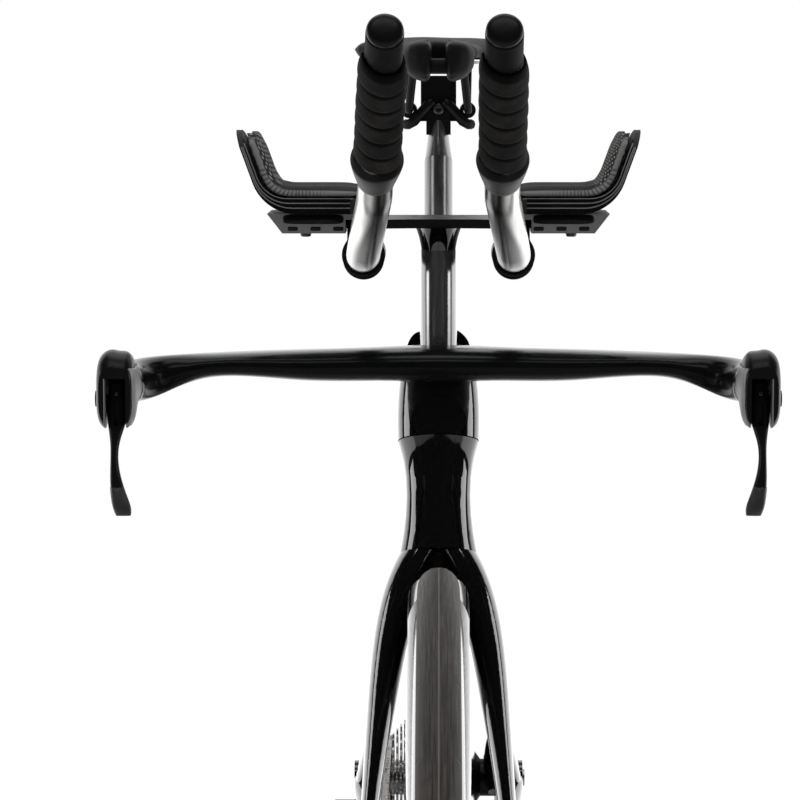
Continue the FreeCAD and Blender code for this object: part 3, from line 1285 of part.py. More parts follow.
def make_shifter(name, tip, heading):
    """A round shifter in the tube's end, with a push button on top."""
    side = heading.cross(UP).normalize()
    top = side.cross(heading).normalize()
    length, radius = size["shifter_length"], size["shifter_radius"]
    gap = size["running_clearance"]
    body = rod(tip + heading * gap, tip + heading * (length - 4), radius)
    nose = Part.makeCone(radius, radius * 0.72, 4, tip + heading * (length - 4), heading)
    plug = rod(tip - heading * 24, tip + heading * gap,
               size["extension_radius"] - size["extension_wall"] - size["running_clearance"])
    spot = tip + heading * (length * 0.55)
    pocket_floor = radius - size["button_travel"] * 4
    bore = rod(spot + top * pocket_floor, spot + top * (radius + 5), size["button_radius"] + gap)
    solid(name + "_shifter", body.fuse([nose, plug]).cut(bore))
    button = rod(spot + top * (pocket_floor + size["button_travel"] + size["seat_clearance"]),
                 spot + top * (radius + size["button_rise"]), size["button_radius"])
    solid(name + "_shift_button", button)


def arm_profile(inset, floor_depth, wing_depth, shrink, y):
    """An L-shaped section: a floor and a leaning outer wing, joined by an arc."""
    toe = size["pad_toe"] * (y - behind_axle("pad_front")) / size["pad_length"]
    inner, corner, radius = size["pad_inner"] + shrink, size["pad_corner"] + toe, size["pad_corner_radius"]
    floor = pad_floor - inset
    lean = math.radians(size["pad_lean"])
    wing_top = pad_floor + size["pad_wing_top"] - shrink
    normal = at(-math.cos(lean), 0, math.sin(lean))
    climb = at(math.sin(lean), 0, math.cos(lean))

    def offset_line(distance, wing_distance):
        """Floor end, arc start, middle and end, and wing end, so far below the floor and outside the wing."""
        level = floor - distance
        foot = at(corner, y, floor) - normal * (inset + wing_distance)
        shift = (level - foot.z) / climb.z
        elbow = foot + climb * shift
        bend = radius + inset + distance
        reach = bend * math.tan((math.pi / 2 - lean) / 2)
        start = elbow - X * reach
        finish = elbow + climb * reach
        centre = start + UP * bend
        middle = centre + (elbow - centre).normalize() * bend
        length = (wing_top - elbow.z) / climb.z
        return at(inner, y, level), start, middle, finish, elbow + climb * length

    first, second = offset_line(0.0, 0.0), offset_line(floor_depth, wing_depth)
    edges = [Part.makeLine(first[0], first[1]), Part.Arc(*first[1:4]).toShape(),
             Part.makeLine(first[3], first[4]), Part.makeLine(first[4], second[4]),
             Part.makeLine(second[4], second[3]),
             Part.Arc(second[3], second[2], second[1]).toShape(), Part.makeLine(second[1], second[0]),
             Part.makeLine(second[0], first[0])]
    return Part.Wire(edges)


def make_arm_rest(name, side):
    """Pad, carbon cup and the bracket that carries them on the bridge."""
    front, length = behind_axle("pad_front"), size["pad_length"]
    thick = size["pad_thickness"]
    drawn = ((0, 0.5, 6), (0.05, 0.12, 1.5), (0.3, 0, 0), (0.7, 0, 0), (0.95, 0.12, 1.5), (1, 0.5, 6))
    pad = loft([arm_profile(thick * slim / 2, thick * (1 - slim / 2), thick * (1 - slim / 2), shrink,
                            front + length * share) for share, slim, shrink in drawn])
    solid(name + "_arm_pad", handed(pad, side))
    below = thick + size["cup_gap"]
    cup_stations = ((-0.01, 8), (0.1, 4), (0.9, 4), (1.01, 8))
    cup = loft([arm_profile(below, size["cup_floor"], size["cup_wing"], shrink, front + length * share)
                for share, shrink in cup_stations])
    solid(name + "_arm_cup", handed(cup, side))
    floor = pad_floor - below - size["cup_floor"]
    plate_top = bridge_level + size["bridge_thickness"]
    inner, edge = size["pad_inner"] + 4, size["bridge_width"] / 2 + size["seat_clearance"]
    low, y = plate_top - size["bracket_depth"], front + length * 0.06
    outline = [(inner, plate_top), (edge, plate_top), (edge, low), (size["bracket_foot"], low),
               (size["bracket_shoulder"], floor), (inner, floor), (inner, plate_top)]
    section = Part.Face(Part.makePolygon([at(x, y, z) for x, z in outline]))
    return handed(section.extrude(at(0, length * 0.62, 0)), side)


def make_lever(name, side):
    """A lever body on the grip's end, its pivot pin and the blade."""
    x = size["bar_spread"] / 2 - 2
    front, length = behind_axle("grip_front") - size["seat_clearance"], size["hood_length"]
    top, bottom = size["hood_top"], size["hood_bottom"]
    half = size["hood_width"] / 2
    grip_z = size["bar_height"] - 3.5
    rows = [(0, grip_z + 13, grip_z - 13, half * 1.04, 2.0), (0.3, top - 6, bottom + 9, half * 1.02, 2.8),
            (0.62, top, bottom + 1, half, 3.4), (0.9, top - 3, bottom, half * 0.96, 3.4),
            (1.0, top - 9, bottom + 3, half * 0.82, 3.4)]
    rings = []
    for share, high, low, wide, shape in rows:
        middle = (high + low) / 2
        centre = at(x, front - length * share, middle)
        rings.append(ring(centre, UP, X, high - middle, middle - low, wide, shape))
    pivot = at(x, behind_axle("lever_pivot"), size["lever_pivot_height"])
    slot_half = size["lever_slot"] / 2
    rear = 22
    slot = Part.makeBox(2 * slot_half, length, pivot.z + 14 - bottom + 10,
                        at(x - slot_half, pivot.y + rear - length, bottom - 10))
    pin = rod(pivot - X * (half - 2), pivot + X * (half + 1.4), size["lever_pin_radius"])
    cap = rod(pivot + X * (half - 0.4), pivot + X * (half + 1.4), 5)
    hole_radius = size["lever_pin_radius"] + size["running_clearance"]
    hole = rod(pivot - X * (half - 2), pivot + X * (half + 3), hole_radius)
    body = loft(rings).cut([slot, hole, rod(pivot + X * (half - 0.4), pivot + X * (half + 9), 5.2)])
    solid(name + "_lever_body", handed(body, side), handed(pin.fuse(cap), side))
    solid(name + "_brake_lever", handed(lever_blade(pivot), side))


def lever_blade(pivot):
    """A blade that is broad at the pivot, slim below it and ends in a turned-in paddle."""
    half = size["lever_width"] / 2
    drop = pivot.z - size["lever_tip_height"]
    rows = [(-0.14, 0, 0, 0.86, 6), (0, 0, 1, 1.0, 7), (0.2, 0, 4, 0.97, 6.5), (0.38, -0.8, 9, 0.5, 5.5),
            (0.55, -0.8, 14, 0.42, 5.2), (0.7, 0.4, 18, 0.6, 5),
            (0.86, 3.2, 23, 0.86, 4.2), (1, 5.6, 26, 0.72, 3.2)]
    rings = [ring(at(pivot.x - inward, pivot.y - ahead, pivot.z - drop * share), FORWARD, X, deep, deep,
                  half * wide, 2.6)
             for share, inward, ahead, wide, deep in rows]
    blade = loft(rings)
    hole = rod(pivot - X * 30, pivot + X * 30, size["lever_pin_radius"] + size["running_clearance"])
    window = Part.makeBox(3.2, 40, drop * 0.2, at(pivot.x - 1.6, pivot.y - 30, pivot.z - drop * 0.23))
    return blade.cut([hole, window])


# Build every sub-part
make_tyre("front_tyre", front_axle)
make_spokes(make_rim())
make_front_hub()
make_rotor("front_rotor", "front_rotor_offset", front_axle)
make_axle("front_axle", "front_hub_width", "fork_dropout_thickness", front_axle)
make_tyre("rear_tyre", rear_axle)
make_disc_wheel()
make_rear_hub()
make_rotor("rear_rotor", "rear_rotor_offset", rear_axle)
make_axle("rear_axle", "rear_hub_width", "dropout_thickness", rear_axle)
cage_rest = settle_cage()
rollers = walk_chain(belt(chain_wheels(cage_rest)))[0]
make_chain(rollers)
make_sprockets(rollers, cage_rest)
make_cranks()
make_bottom_bracket()
frame = frame_shape()
solid("frame", frame)
make_derailleur(cage_rest, frame)
make_headset()
make_storage(frame)
post = seatpost_shape()
solid("seatpost", post)
make_saddle(post)
fork = fork_shape()
solid("fork", fork)
base_bar = base_bar_shape()
solid("base_bar", base_bar)
make_stem_and_risers(base_bar)
make_bridge()
solid("extension_clamps", *[make_extension(hand, sign) for hand, sign in SIDES.items()])
solid("pad_brackets", *[make_arm_rest(hand, sign) for hand, sign in SIDES.items()])
for hand, sign in SIDES.items():
    make_lever(hand, sign)
solid("front_caliper", caliper(front_axle, "front_rotor_offset", math.radians(30), fork))
solid("rear_caliper", caliper(rear_axle, "rear_rotor_offset", math.radians(157), frame))

doc.recompute()
os.makedirs("parts", exist_ok=True)
failed = [item.Label for item in doc.Objects if "Invalid" in item.State or "Error" in item.State]
failed += [item.Label for item in sub_parts if item.Shape.isNull() or not item.Shape.isValid()]
if failed:
    raise ValueError("these did not build: " + ", ".join(failed))
for item in sub_parts:
    item.Shape.exportStep(f"parts/{item.Label}.step")
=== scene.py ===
import math

import bmesh
import bpy
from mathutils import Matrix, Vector


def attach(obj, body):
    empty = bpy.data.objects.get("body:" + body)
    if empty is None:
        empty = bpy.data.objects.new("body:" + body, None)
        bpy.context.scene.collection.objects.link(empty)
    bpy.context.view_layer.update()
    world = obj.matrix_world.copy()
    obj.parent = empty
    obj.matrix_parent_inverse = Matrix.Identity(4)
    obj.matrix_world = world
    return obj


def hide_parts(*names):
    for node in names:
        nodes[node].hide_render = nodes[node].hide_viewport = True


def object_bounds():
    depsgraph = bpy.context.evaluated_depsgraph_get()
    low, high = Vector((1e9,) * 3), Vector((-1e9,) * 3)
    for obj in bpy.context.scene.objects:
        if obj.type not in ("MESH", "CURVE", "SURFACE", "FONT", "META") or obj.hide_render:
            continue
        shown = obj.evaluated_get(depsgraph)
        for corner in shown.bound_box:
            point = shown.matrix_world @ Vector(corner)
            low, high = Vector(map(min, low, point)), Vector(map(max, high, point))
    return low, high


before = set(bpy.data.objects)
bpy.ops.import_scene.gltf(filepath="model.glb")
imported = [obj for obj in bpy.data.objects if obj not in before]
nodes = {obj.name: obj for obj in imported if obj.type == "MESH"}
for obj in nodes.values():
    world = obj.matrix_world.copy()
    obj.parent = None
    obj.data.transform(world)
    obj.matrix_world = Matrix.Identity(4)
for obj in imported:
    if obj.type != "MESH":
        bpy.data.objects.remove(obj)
cad_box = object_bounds()

# Lengths are in metres: forward is -Y, up is +Z and the rider's left is +X
HANDS = {"left": 1, "right": -1}
FRONT_AXLE, REAR_AXLE, AXLE_HEIGHT = -0.5, 0.5, 0.338
CLAMP_SIDE, EXTENSION_HEIGHT = 0.0495, 0.8627

# Camera and studio
PHOTO_SIZE = 800
SENSOR_WIDTH = 36
FOCAL_PIXELS = 3444.3
CAMERA_SPOT = Vector((0, -2.6015, 0.9904))
CAMERA_PITCH = math.radians(5.628)
BIKE_PLANE_PIXEL = 438.5

# Finishes
NOISE_ROUGHNESS = 0.55
CUT_SPACING = math.radians(10.75)
GATHER_SIDE, GATHER_HEIGHT = 0.093, 0.921
GATHER_FAN, GATHER_RATE = 44, 2618


class Link:
    """A socket among a finish's nodes; sums, products and comparisons of links add Math nodes."""

    def __init__(self, finish, socket):
        self.finish = finish
        self.socket = socket

    def maths(self, operation, *terms):
        return self.finish.node("ShaderNodeMath", {"operation": operation}, dict(enumerate(terms)))

    def __add__(self, other):
        return self.maths("ADD", self, other)

    def __radd__(self, other):
        return self.maths("ADD", other, self)

    def __sub__(self, other):
        return self.maths("SUBTRACT", self, other)

    def __rsub__(self, other):
        return self.maths("SUBTRACT", other, self)

    def __mul__(self, other):
        return self.maths("MULTIPLY", self, other)

    def __rmul__(self, other):
        return self.maths("MULTIPLY", other, self)

    def __mod__(self, other):
        return self.maths("FLOORED_MODULO", self, other)

    def __gt__(self, other):
        return self.maths("GREATER_THAN", self, other)

    def __lt__(self, other):
        return self.maths("LESS_THAN", self, other)

    def __abs__(self):
        return self.maths("ABSOLUTE", self)

    def sine(self):
        return self.maths("SINE", self)

    def root(self):
        return self.maths("SQRT", self)

    def angle_to(self, other):
        return self.maths("ARCTAN2", self, other)

    def ramp(self, low, high):
        """0 below low, 1 above high, smooth between."""
        return self.finish.node("ShaderNodeMapRange", {"interpolation_type": "SMOOTHSTEP"},
                                {"Value": self, "From Min": low, "From Max": high})

    def near(self, centre, width):
        """1 at the centre, falling smoothly to 0 a width away."""
        return 1 - abs(self - centre).ramp(0.0, width)


class Finish:
    """A node material built from expressions."""

    def __init__(self, name, material=None):
        self.material = material or bpy.data.materials.new(name)
        self.material.use_nodes = True
        self.tree = self.material.node_tree
        self.tree.nodes.clear()

    def node(self, kind, settings=None, sockets=None, output=0):
        made = self.tree.nodes.new(kind)
        for key, value in (settings or {}).items():
            setattr(made, key, value)
        for key, value in (sockets or {}).items():
            if isinstance(value, Link):
                self.tree.links.new(value.socket, made.inputs[key])
            else:
                made.inputs[key].default_value = value
        return Link(self, made.outputs[output]) if made.outputs else None

    def spot(self):
        """Where a point is on the object, in metres."""
        return self.node("ShaderNodeTexCoord", output="Object")

    def axes(self, vector=None):
        vector = vector or self.spot()
        return [self.node("ShaderNodeSeparateXYZ", sockets={"Vector": vector}, output=axis) for axis in "XYZ"]

    def stretched(self, scale):
        return self.node("ShaderNodeVectorMath", {"operation": "MULTIPLY"}, {0: self.spot(), 1: scale})

    def plane(self, first, second):
        """A place in a texture from two measures."""
        return self.node("ShaderNodeCombineXYZ", sockets={0: first, 1: second})

    def noise(self, scale, detail, vector=None):
        return self.node("ShaderNodeTexNoise", sockets={"Vector": vector or self.spot(), "Scale": scale,
                                                        "Detail": detail, "Roughness": NOISE_ROUGHNESS})

    def cells(self, scale):
        return self.node("ShaderNodeTexVoronoi", {"feature": "F1"}, {"Vector": self.spot(), "Scale": scale})

    def mix(self, share, first, second):
        return self.node("ShaderNodeMix", {"data_type": "RGBA"},
                         {0: share, 6: first if isinstance(first, Link) else (*first, 1),
                          7: second if isinstance(second, Link) else (*second, 1)}, output=2)

    def bump(self, height, depth, strength):
        sockets = {"Height": height, "Distance": depth, "Strength": strength}
        return self.node("ShaderNodeBump", sockets=sockets)

    def surface(self, **sockets):
        named = {key.replace("_", " ").title().replace("Ior", "IOR"): value for key, value in sockets.items()}
        shader = self.node("ShaderNodeBsdfPrincipled", sockets=named)
        self.node("ShaderNodeOutputMaterial", sockets={"Surface": shader})
        return self.material


def gloss_carbon():
    """Lacquered black laminate with a faint fleck and a slight orange peel."""
    paint = Finish("gloss_carbon")
    fleck = paint.noise(900, 2, paint.stretched((1, 0.25, 0.4)))
    cloud = paint.noise(14, 2)
    colour = paint.mix(fleck.ramp(0.45, 0.75), (0.0022, 0.0022, 0.0025), (0.006, 0.006, 0.0066))
    peel = paint.noise(160, 1)
    return paint.surface(base_color=colour, roughness=0.05 + 0.04 * cloud, coat_weight=0.6,
                         coat_roughness=0.03, normal=paint.bump(peel, 0.00004, 0.35))


def satin_carbon():
    """Satin black laminate: a soft sheen over fine lengthwise fibres."""
    paint = Finish("satin_carbon")
    fibre = paint.noise(500, 2, paint.stretched((0.12, 1, 1)))
    cloud = paint.noise(20, 2)
    colour = paint.mix(fibre, (0.0024, 0.0026, 0.003), (0.006, 0.0063, 0.007))
    return paint.surface(base_color=colour, roughness=0.15 + 0.05 * cloud + 0.04 * fibre,
                         specular_ior_level=0.07, normal=paint.bump(fibre, 0.00003, 0.3))


def bare_carbon():
    """Polished carbon tube with bands of fibre along it, pale outside, with painted shade on the side to the
    middle.
    """
    paint = Finish("bare_carbon")
    across, _, up = paint.axes()
    # Painted shade: the side of the tube that faces the bike's middle, and more of it near the clamp, is
    # coloured near black, chosen by the surface's normal.
    facing = paint.axes(paint.node("ShaderNodeTexCoord", output="Normal"))[0]
    near_clamp = 1 - up.ramp(0.866, 0.895)
    inner_shade = (facing * (1 - 2 * (across > 0)) + near_clamp * 0.5).ramp(-0.4, 0.1)
    fibre = paint.noise(420, 3, paint.stretched((1, 0.06, 0.1)))
    colour = paint.mix(fibre.ramp(0.35, 0.7), (0.68, 0.67, 0.65), (0.88, 0.87, 0.85))
    colour = paint.mix(inner_shade, colour, (0.016, 0.0155, 0.015))
    return paint.surface(base_color=colour, metallic=0.75, roughness=0.2 + 0.08 * fibre, coat_weight=0.08,
                         coat_roughness=0.15, normal=paint.bump(fibre, 0.00002, 0.3))


def moulded_black():
    """Fine-grained moulded plastic, a little paler where it is rubbed."""
    paint = Finish("moulded_black")
    grain = paint.noise(1600, 2)
    rub = paint.noise(45, 4).ramp(0.55, 0.8)
    colour = paint.mix(rub, (0.0045, 0.0045, 0.005), (0.01, 0.01, 0.0107))
    return paint.surface(base_color=colour, roughness=0.28 + 0.1 * grain, specular_ior_level=0.14,
                         normal=paint.bump(grain, 0.00006, 0.4))


def black_metal():
    """Black anodised alloy with a fine blasted texture."""
    paint = Finish("black_metal")
    grain = paint.noise(2200, 2)
    cloud = paint.noise(30, 3)
    colour = paint.mix(cloud, (0.012, 0.012, 0.013), (0.026, 0.026, 0.028))
    return paint.surface(base_color=colour, metallic=0.6 + 0.2 * cloud, roughness=0.28 + 0.1 * grain,
                         specular_tint=(0.2, 0.2, 0.2, 1), specular_ior_level=0.3,
                         normal=paint.bump(grain, 0.00003, 0.3))


def grey_metal():
    """Bare blasted alloy with soft cloudy wear."""
    paint = Finish("grey_metal")
    grain = paint.noise(1800, 2)
    cloud = paint.noise(40, 4)
    colour = paint.mix(cloud, (0.3, 0.3, 0.31), (0.46, 0.46, 0.47))
    return paint.surface(base_color=colour, metallic=0.85 + 0.1 * cloud, roughness=0.34 + 0.12 * grain,
                         normal=paint.bump(grain, 0.00004, 0.4))


def brushed_steel(axle_y):
    """Turned steel whose brush marks run round an axle."""
    paint = Finish("brushed_steel")
    across, along, up = paint.axes()
    along, up = along - axle_y, up - AXLE_HEIGHT
    radius = (along * along + up * up).root()
    rings = paint.noise(1.0, 2, paint.plane(radius * 2600, across * 300))
    stain = paint.noise(60, 4)
    colour = paint.mix(stain, (0.36, 0.36, 0.37), (0.56, 0.56, 0.57))
    return paint.surface(base_color=colour, metallic=0.95, roughness=0.22 + 0.2 * rings,
                         normal=paint.bump(rings, 0.00003, 0.35))


def chain_steel():
    """Plated steel with an oily darkening."""
    paint = Finish("chain_steel")
    oil = paint.noise(140, 4)
    colour = paint.mix(oil.ramp(0.4, 0.7), (0.42, 0.41, 0.4), (0.16, 0.155, 0.15))
    return paint.surface(base_color=colour, metallic=0.9, roughness=0.22 + 0.25 * oil,
                         normal=paint.bump(oil, 0.00004, 0.3))


def tread_rubber(axle_y):
    """Used tread: a thin seam in the middle, lengthwise scuffs and short cuts on each shoulder, darkened
    inside as painted shade.
    """
    paint = Finish("tread_rubber")
    across, along, up = paint.axes()
    along, up = along - axle_y, up - AXLE_HEIGHT
    turn = along.angle_to(up)
    streaks = paint.noise(1.0, 4, paint.plane(across * 900, turn * 9))
    blotch = paint.noise(1.0, 4, paint.plane(across * 160, turn * 40))
    grain = paint.noise(1500, 2)
    seam = across.near(0.0002, 0.0007)
    share = (turn * (1 / CUT_SPACING)) % 1.0
    cut = share.near(0.5, 0.03) * abs(across).near(0.0122, 0.0026)
    edge = abs(across).ramp(0.0105, 0.0125)
    worn = paint.mix(streaks.ramp(0.3, 0.75), (0.017, 0.0148, 0.013), (0.066, 0.0575, 0.051))
    tread = paint.mix(blotch.ramp(0.45, 0.75), worn, (0.03, 0.0268, 0.0244))
    tread = paint.mix(seam * 0.8, tread, (0.17, 0.155, 0.145))
    # Painted shade: the cuts are coloured near black inside.
    tread = paint.mix(cut, tread, (0.006, 0.006, 0.006))
    tread = paint.mix(edge, tread, (0.014, 0.0135, 0.013))
    height = grain * 0.25 + streaks * 0.35 - cut * 1.6 + seam * 0.4
    return paint.surface(base_color=tread, roughness=0.62 + 0.15 * grain - 0.14 * streaks,
                         specular_ior_level=0.3, normal=paint.bump(height, 0.0004, 0.7))


def rim_carbon(axle_y):
    """Deep rim: glossy laminate in overlapping angled strips."""
    paint = Finish("rim_carbon")
    across, along, up = paint.axes()
    along, up = along - axle_y, up - AXLE_HEIGHT
    turn = along.angle_to(up)
    radius = (along * along + up * up).root()
    ply = paint.noise(1.0, 3, paint.plane(turn * 60 + radius * 300, across * 50))
    colour = paint.mix(ply.ramp(0.4, 0.65), (0.006, 0.006, 0.0065), (0.02, 0.02, 0.0205))
    return paint.surface(base_color=colour, roughness=0.14 + 0.1 * ply, coat_weight=0.5,
                         coat_roughness=0.06, normal=paint.bump(ply, 0.00003, 0.3))


def bar_tape():
    """Matt grip tape with small dimples, dust that also lifts its high spots as a painted sheen, and a
    painted shadow in the crease under each lap.
    """
    paint = Finish("bar_tape")
    dimple = paint.cells(420).ramp(0.05, 0.35)
    dust = paint.noise(70, 4)
    across_strip = paint.node("ShaderNodeAttribute", {"attribute_name": "across_strip"}, output="Fac")
    # Paler on the dust noise, which is also the bump's high spots: partly dust, partly a painted sheen.
    colour = paint.mix(dust.ramp(0.35, 0.8), (0.011, 0.0102, 0.0098), (0.026, 0.0242, 0.0232))
    # Painted shadow: the strip is near black in the crease behind each lap's edge.
    colour = paint.mix(across_strip.ramp(0.12, 0.24), colour, (0.0006, 0.0006, 0.0006))
    return paint.surface(base_color=colour, roughness=0.7 + 0.15 * dust, specular_ior_level=0.06,
                         normal=paint.bump(dimple + dust * 0.6, 0.00025, 0.6))


def mirror_carbon():
    """Polished, nearly mirror-bright laminate with upright fibres."""
    paint = Finish("mirror_carbon")
    fibre = paint.noise(300, 3, paint.stretched((1, 1, 0.05)))
    colour = paint.mix(fibre.ramp(0.35, 0.7), (0.2, 0.2, 0.205), (0.3, 0.295, 0.29))
    return paint.surface(base_color=colour, metallic=0.85, roughness=0.1 + 0.08 * fibre,
                         normal=paint.bump(fibre, 0.00002, 0.3))


def post_carbon():
    """Satin-polished post with a soft silvery sheen along it."""
    paint = Finish("post_carbon")
    fibre = paint.noise(260, 3, paint.stretched((1, 1, 0.04)))
    colour = paint.mix(fibre.ramp(0.3, 0.7), (0.1, 0.102, 0.105), (0.18, 0.18, 0.178))
    return paint.surface(base_color=colour, metallic=0.8, roughness=0.26 + 0.08 * fibre,
                         normal=paint.bump(fibre, 0.00002, 0.3))


def cup_black():
    """Dull moulded cups and shifters with a dry, slightly dusty face."""
    paint = Finish("cup_black")
    dust = paint.noise(90, 4)
    colour = paint.mix(dust.ramp(0.4, 0.8), (0.003, 0.003, 0.0033), (0.009, 0.009, 0.0095))
    return paint.surface(base_color=colour, roughness=0.55 + 0.2 * dust, specular_ior_level=0.06,
                         normal=paint.bump(dust, 0.00008, 0.4))


def paddle_grey():
    """Rubbed lever paddle, paler than the blade above it."""
    paint = Finish("paddle_grey")
    rub = paint.noise(180, 3)
    colour = paint.mix(rub, (0.03, 0.03, 0.031), (0.07, 0.07, 0.072))
    return paint.surface(base_color=colour, metallic=0.4, roughness=0.3 + 0.12 * rub,
                         normal=paint.bump(rub, 0.00003, 0.3))


def band_grey():
    """Soft, plain finishing band."""
    paint = Finish("band_grey")
    grain = paint.noise(900, 2)
    colour = paint.mix(grain, (0.008, 0.008, 0.0085), (0.02, 0.02, 0.0205))
    return paint.surface(base_color=colour, roughness=0.42 + 0.15 * grain,
                         normal=paint.bump(grain, 0.00008, 0.4))


def pad_cloth():
    """Close-woven cover with pale grip dots, and a paler front wall that is gathered round the corner, with
    painted shade in the gathers' folds.
    """
    paint = Finish("pad_cloth")
    across, along, up = paint.axes()
    weave = ((across + up) * 3200).sine() * (along * 3200).sine()
    wear = paint.noise(50, 4)
    dots = ((across + up * 1.4) * 950).sine() * (along * 950).sine()
    colour = paint.mix(wear.ramp(0.35, 0.8), (0.006, 0.006, 0.0066), (0.018, 0.018, 0.019))
    colour = paint.mix(weave.ramp(-0.4, 1.0) * 0.5, colour, (0.026, 0.026, 0.0272))
    facing = paint.axes(paint.node("ShaderNodeTexCoord", output="Normal"))
    front_wall = facing[1].ramp(-0.35, -0.75)
    outside = abs(across)
    fan = (outside - GATHER_SIDE).angle_to(GATHER_HEIGHT - up)
    corner = (fan * GATHER_FAN).sine() * (outside > GATHER_SIDE) * (up < GATHER_HEIGHT)
    level = (outside * GATHER_RATE).sine() * (outside < GATHER_SIDE) * outside.ramp(0.062, GATHER_SIDE)
    gather = (corner + level) * front_wall
    colour = paint.mix(front_wall * 0.9, colour, (0.22, 0.22, 0.227))
    # Painted shade: the hollows of the gathers are coloured darker.
    colour = paint.mix(gather.ramp(0.0, 1.0) * 0.75, colour, (0.045, 0.045, 0.048))
    dots = dots.ramp(0.3, 0.65) * (1 - front_wall) * up.ramp(0.9075, 0.911)
    colour = paint.mix(dots, colour, (0.27, 0.263, 0.25))
    return paint.surface(base_color=colour, roughness=0.72 + 0.12 * wear, specular_ior_level=0.1,
                         normal=paint.bump(weave + wear + dots * 3 - gather * 3, 0.00018, 0.6))


def pale_cord():
    """Thin welting between the layers of an arm rest, coloured pale as a painted highlight along the layer
    edges.
    """
    paint = Finish("pale_cord")
    twist = paint.noise(1400, 2)
    colour = paint.mix(twist, (0.1, 0.1, 0.1), (0.2, 0.2, 0.195))
    return paint.surface(base_color=colour, roughness=0.5 + 0.15 * twist,
                         normal=paint.bump(twist, 0.0001, 0.5))


def bolt_steel():
    """Dark plated bolt heads with fine turning marks."""
    paint = Finish("bolt_steel")
    grain = paint.noise(1900, 3)
    colour = paint.mix(grain, (0.05, 0.05, 0.053), (0.12, 0.12, 0.125))
    return paint.surface(base_color=colour, metallic=0.9, roughness=0.25 + 0.15 * grain,
                         normal=paint.bump(grain, 0.00003, 0.3))


def plate_grey():
    """Pale satin alloy trim with faint wear."""
    paint = Finish("plate_grey")
    wear = paint.noise(120, 4)
    colour = paint.mix(wear, (0.16, 0.16, 0.162), (0.3, 0.3, 0.3))
    return paint.surface(base_color=colour, metallic=0.3, roughness=0.35 + 0.15 * wear,
                         normal=paint.bump(wear, 0.00004, 0.3))


def slot_black():
    """The unlit inside of a slot."""
    paint = Finish("slot_black")
    dust = paint.noise(300, 3)
    colour = paint.mix(dust, (0.003, 0.003, 0.003), (0.01, 0.01, 0.01))
    return paint.surface(base_color=colour, roughness=0.8 + 0.1 * dust)


def saddle_cover():
    """Satin synthetic cover with a fine pebbled grain."""
    paint = Finish("saddle_cover")
    pebble = paint.cells(1100).ramp(0.0, 0.5)
    cloud = paint.noise(26, 3)
    colour = paint.mix(cloud, (0.0035, 0.0037, 0.0042), (0.008, 0.0083, 0.009))
    return paint.surface(base_color=colour, roughness=0.48 + 0.12 * cloud, specular_ior_level=0.05,
                         normal=paint.bump(pebble, 0.00006, 0.4))


def floor_paper():
    """Pale studio floor: white to the camera and, behind the bike, to gloss; it still takes the shadow."""
    paint = Finish("floor_paper")
    across, along, _ = paint.axes()
    mottle = paint.noise(3, 2)
    base = paint.mix(mottle, (0.8, 0.8, 0.8), (0.82, 0.82, 0.82))
    seen = paint.node("ShaderNodeLightPath", output="Is Camera Ray") * 0.9
    mirrored = paint.node("ShaderNodeLightPath", output="Is Glossy Ray")
    far = (along + abs(across) * 0.6).ramp(0.5, 1.3)
    card = paint.node("ShaderNodeBsdfDiffuse", sockets={"Color": base})
    glow = paint.node("ShaderNodeEmission", sockets={"Color": (1, 1, 1, 1), "Strength": 1.06})
    glare = paint.node("ShaderNodeEmission", sockets={"Color": (1, 1, 1, 1), "Strength": 1.6})
    shown = paint.node("ShaderNodeMixShader", sockets={0: seen, 1: card, 2: glow})
    both = paint.node("ShaderNodeMixShader", sockets={0: mirrored * far, 1: shown, 2: glare})
    paint.node("ShaderNodeOutputMaterial", sockets={"Surface": both})
    return paint.material


# Studio
def make_camera():
    data = bpy.data.cameras.new("photo_camera")
    data.sensor_width = SENSOR_WIDTH
    data.lens = SENSOR_WIDTH * FOCAL_PIXELS / PHOTO_SIZE
    data.shift_x = -(BIKE_PLANE_PIXEL - PHOTO_SIZE / 2) / PHOTO_SIZE
    data.clip_end = 100
    camera = bpy.data.objects.new("photo_camera", data)
    camera.location = CAMERA_SPOT
    camera.rotation_euler = (math.pi / 2 - CAMERA_PITCH, 0, 0)
    bpy.context.scene.collection.objects.link(camera)
    bpy.context.scene.camera = camera


def make_world():
    """A white surround for the camera and for gloss, dark where the camera's own side would show."""
    world = bpy.data.worlds.new("studio_surround")
    bpy.context.scene.world = world
    sky = Finish("studio_surround", world)
    way = sky.node("ShaderNodeTexCoord", output="Generated")
    _, along, up = sky.axes(way)
    panel = along.ramp(0.48, 0.62) * 1.6 + up.ramp(0.8, 0.98) * 0.3
    camera_ray = sky.node("ShaderNodeLightPath", output="Is Camera Ray")
    glossy_ray = sky.node("ShaderNodeLightPath", output="Is Glossy Ray")
    clear_ray = sky.node("ShaderNodeLightPath", output="Is Transmission Ray")
    plain = camera_ray + clear_ray
    strength = plain + (1 - plain) * (glossy_ray * (0.02 + panel) + (1 - glossy_ray) * 0.55)
    light = sky.node("ShaderNodeBackground", sockets={"Color": (1, 1, 1, 1), "Strength": strength})
    sky.node("ShaderNodeOutputWorld", sockets={"Surface": light})


def make_lamp(name, spot, aim, size, power):
    data = bpy.data.lights.new(name, "AREA")
    data.shape = "RECTANGLE"
    data.size, data.size_y = size
    data.energy = power
    lamp = bpy.data.objects.new(name, data)
    lamp.location = spot
    lamp.rotation_euler = (Vector(aim) - Vector(spot)).to_track_quat("-Z", "Y").to_euler()
    bpy.context.scene.collection.objects.link(lamp)


def make_floor():
    mesh = bpy.data.meshes.new("studio_floor")
    sheet = bmesh.new()
    bmesh.ops.create_grid(sheet, x_segments=2, y_segments=2, size=6)
    sheet.to_mesh(mesh)
    sheet.free()
    floor = bpy.data.objects.new("studio_floor", mesh)
    floor.location.z = cad_box[0][2] - 0.0005
    mesh.materials.append(floor_paper())
    bpy.context.scene.collection.objects.link(floor)


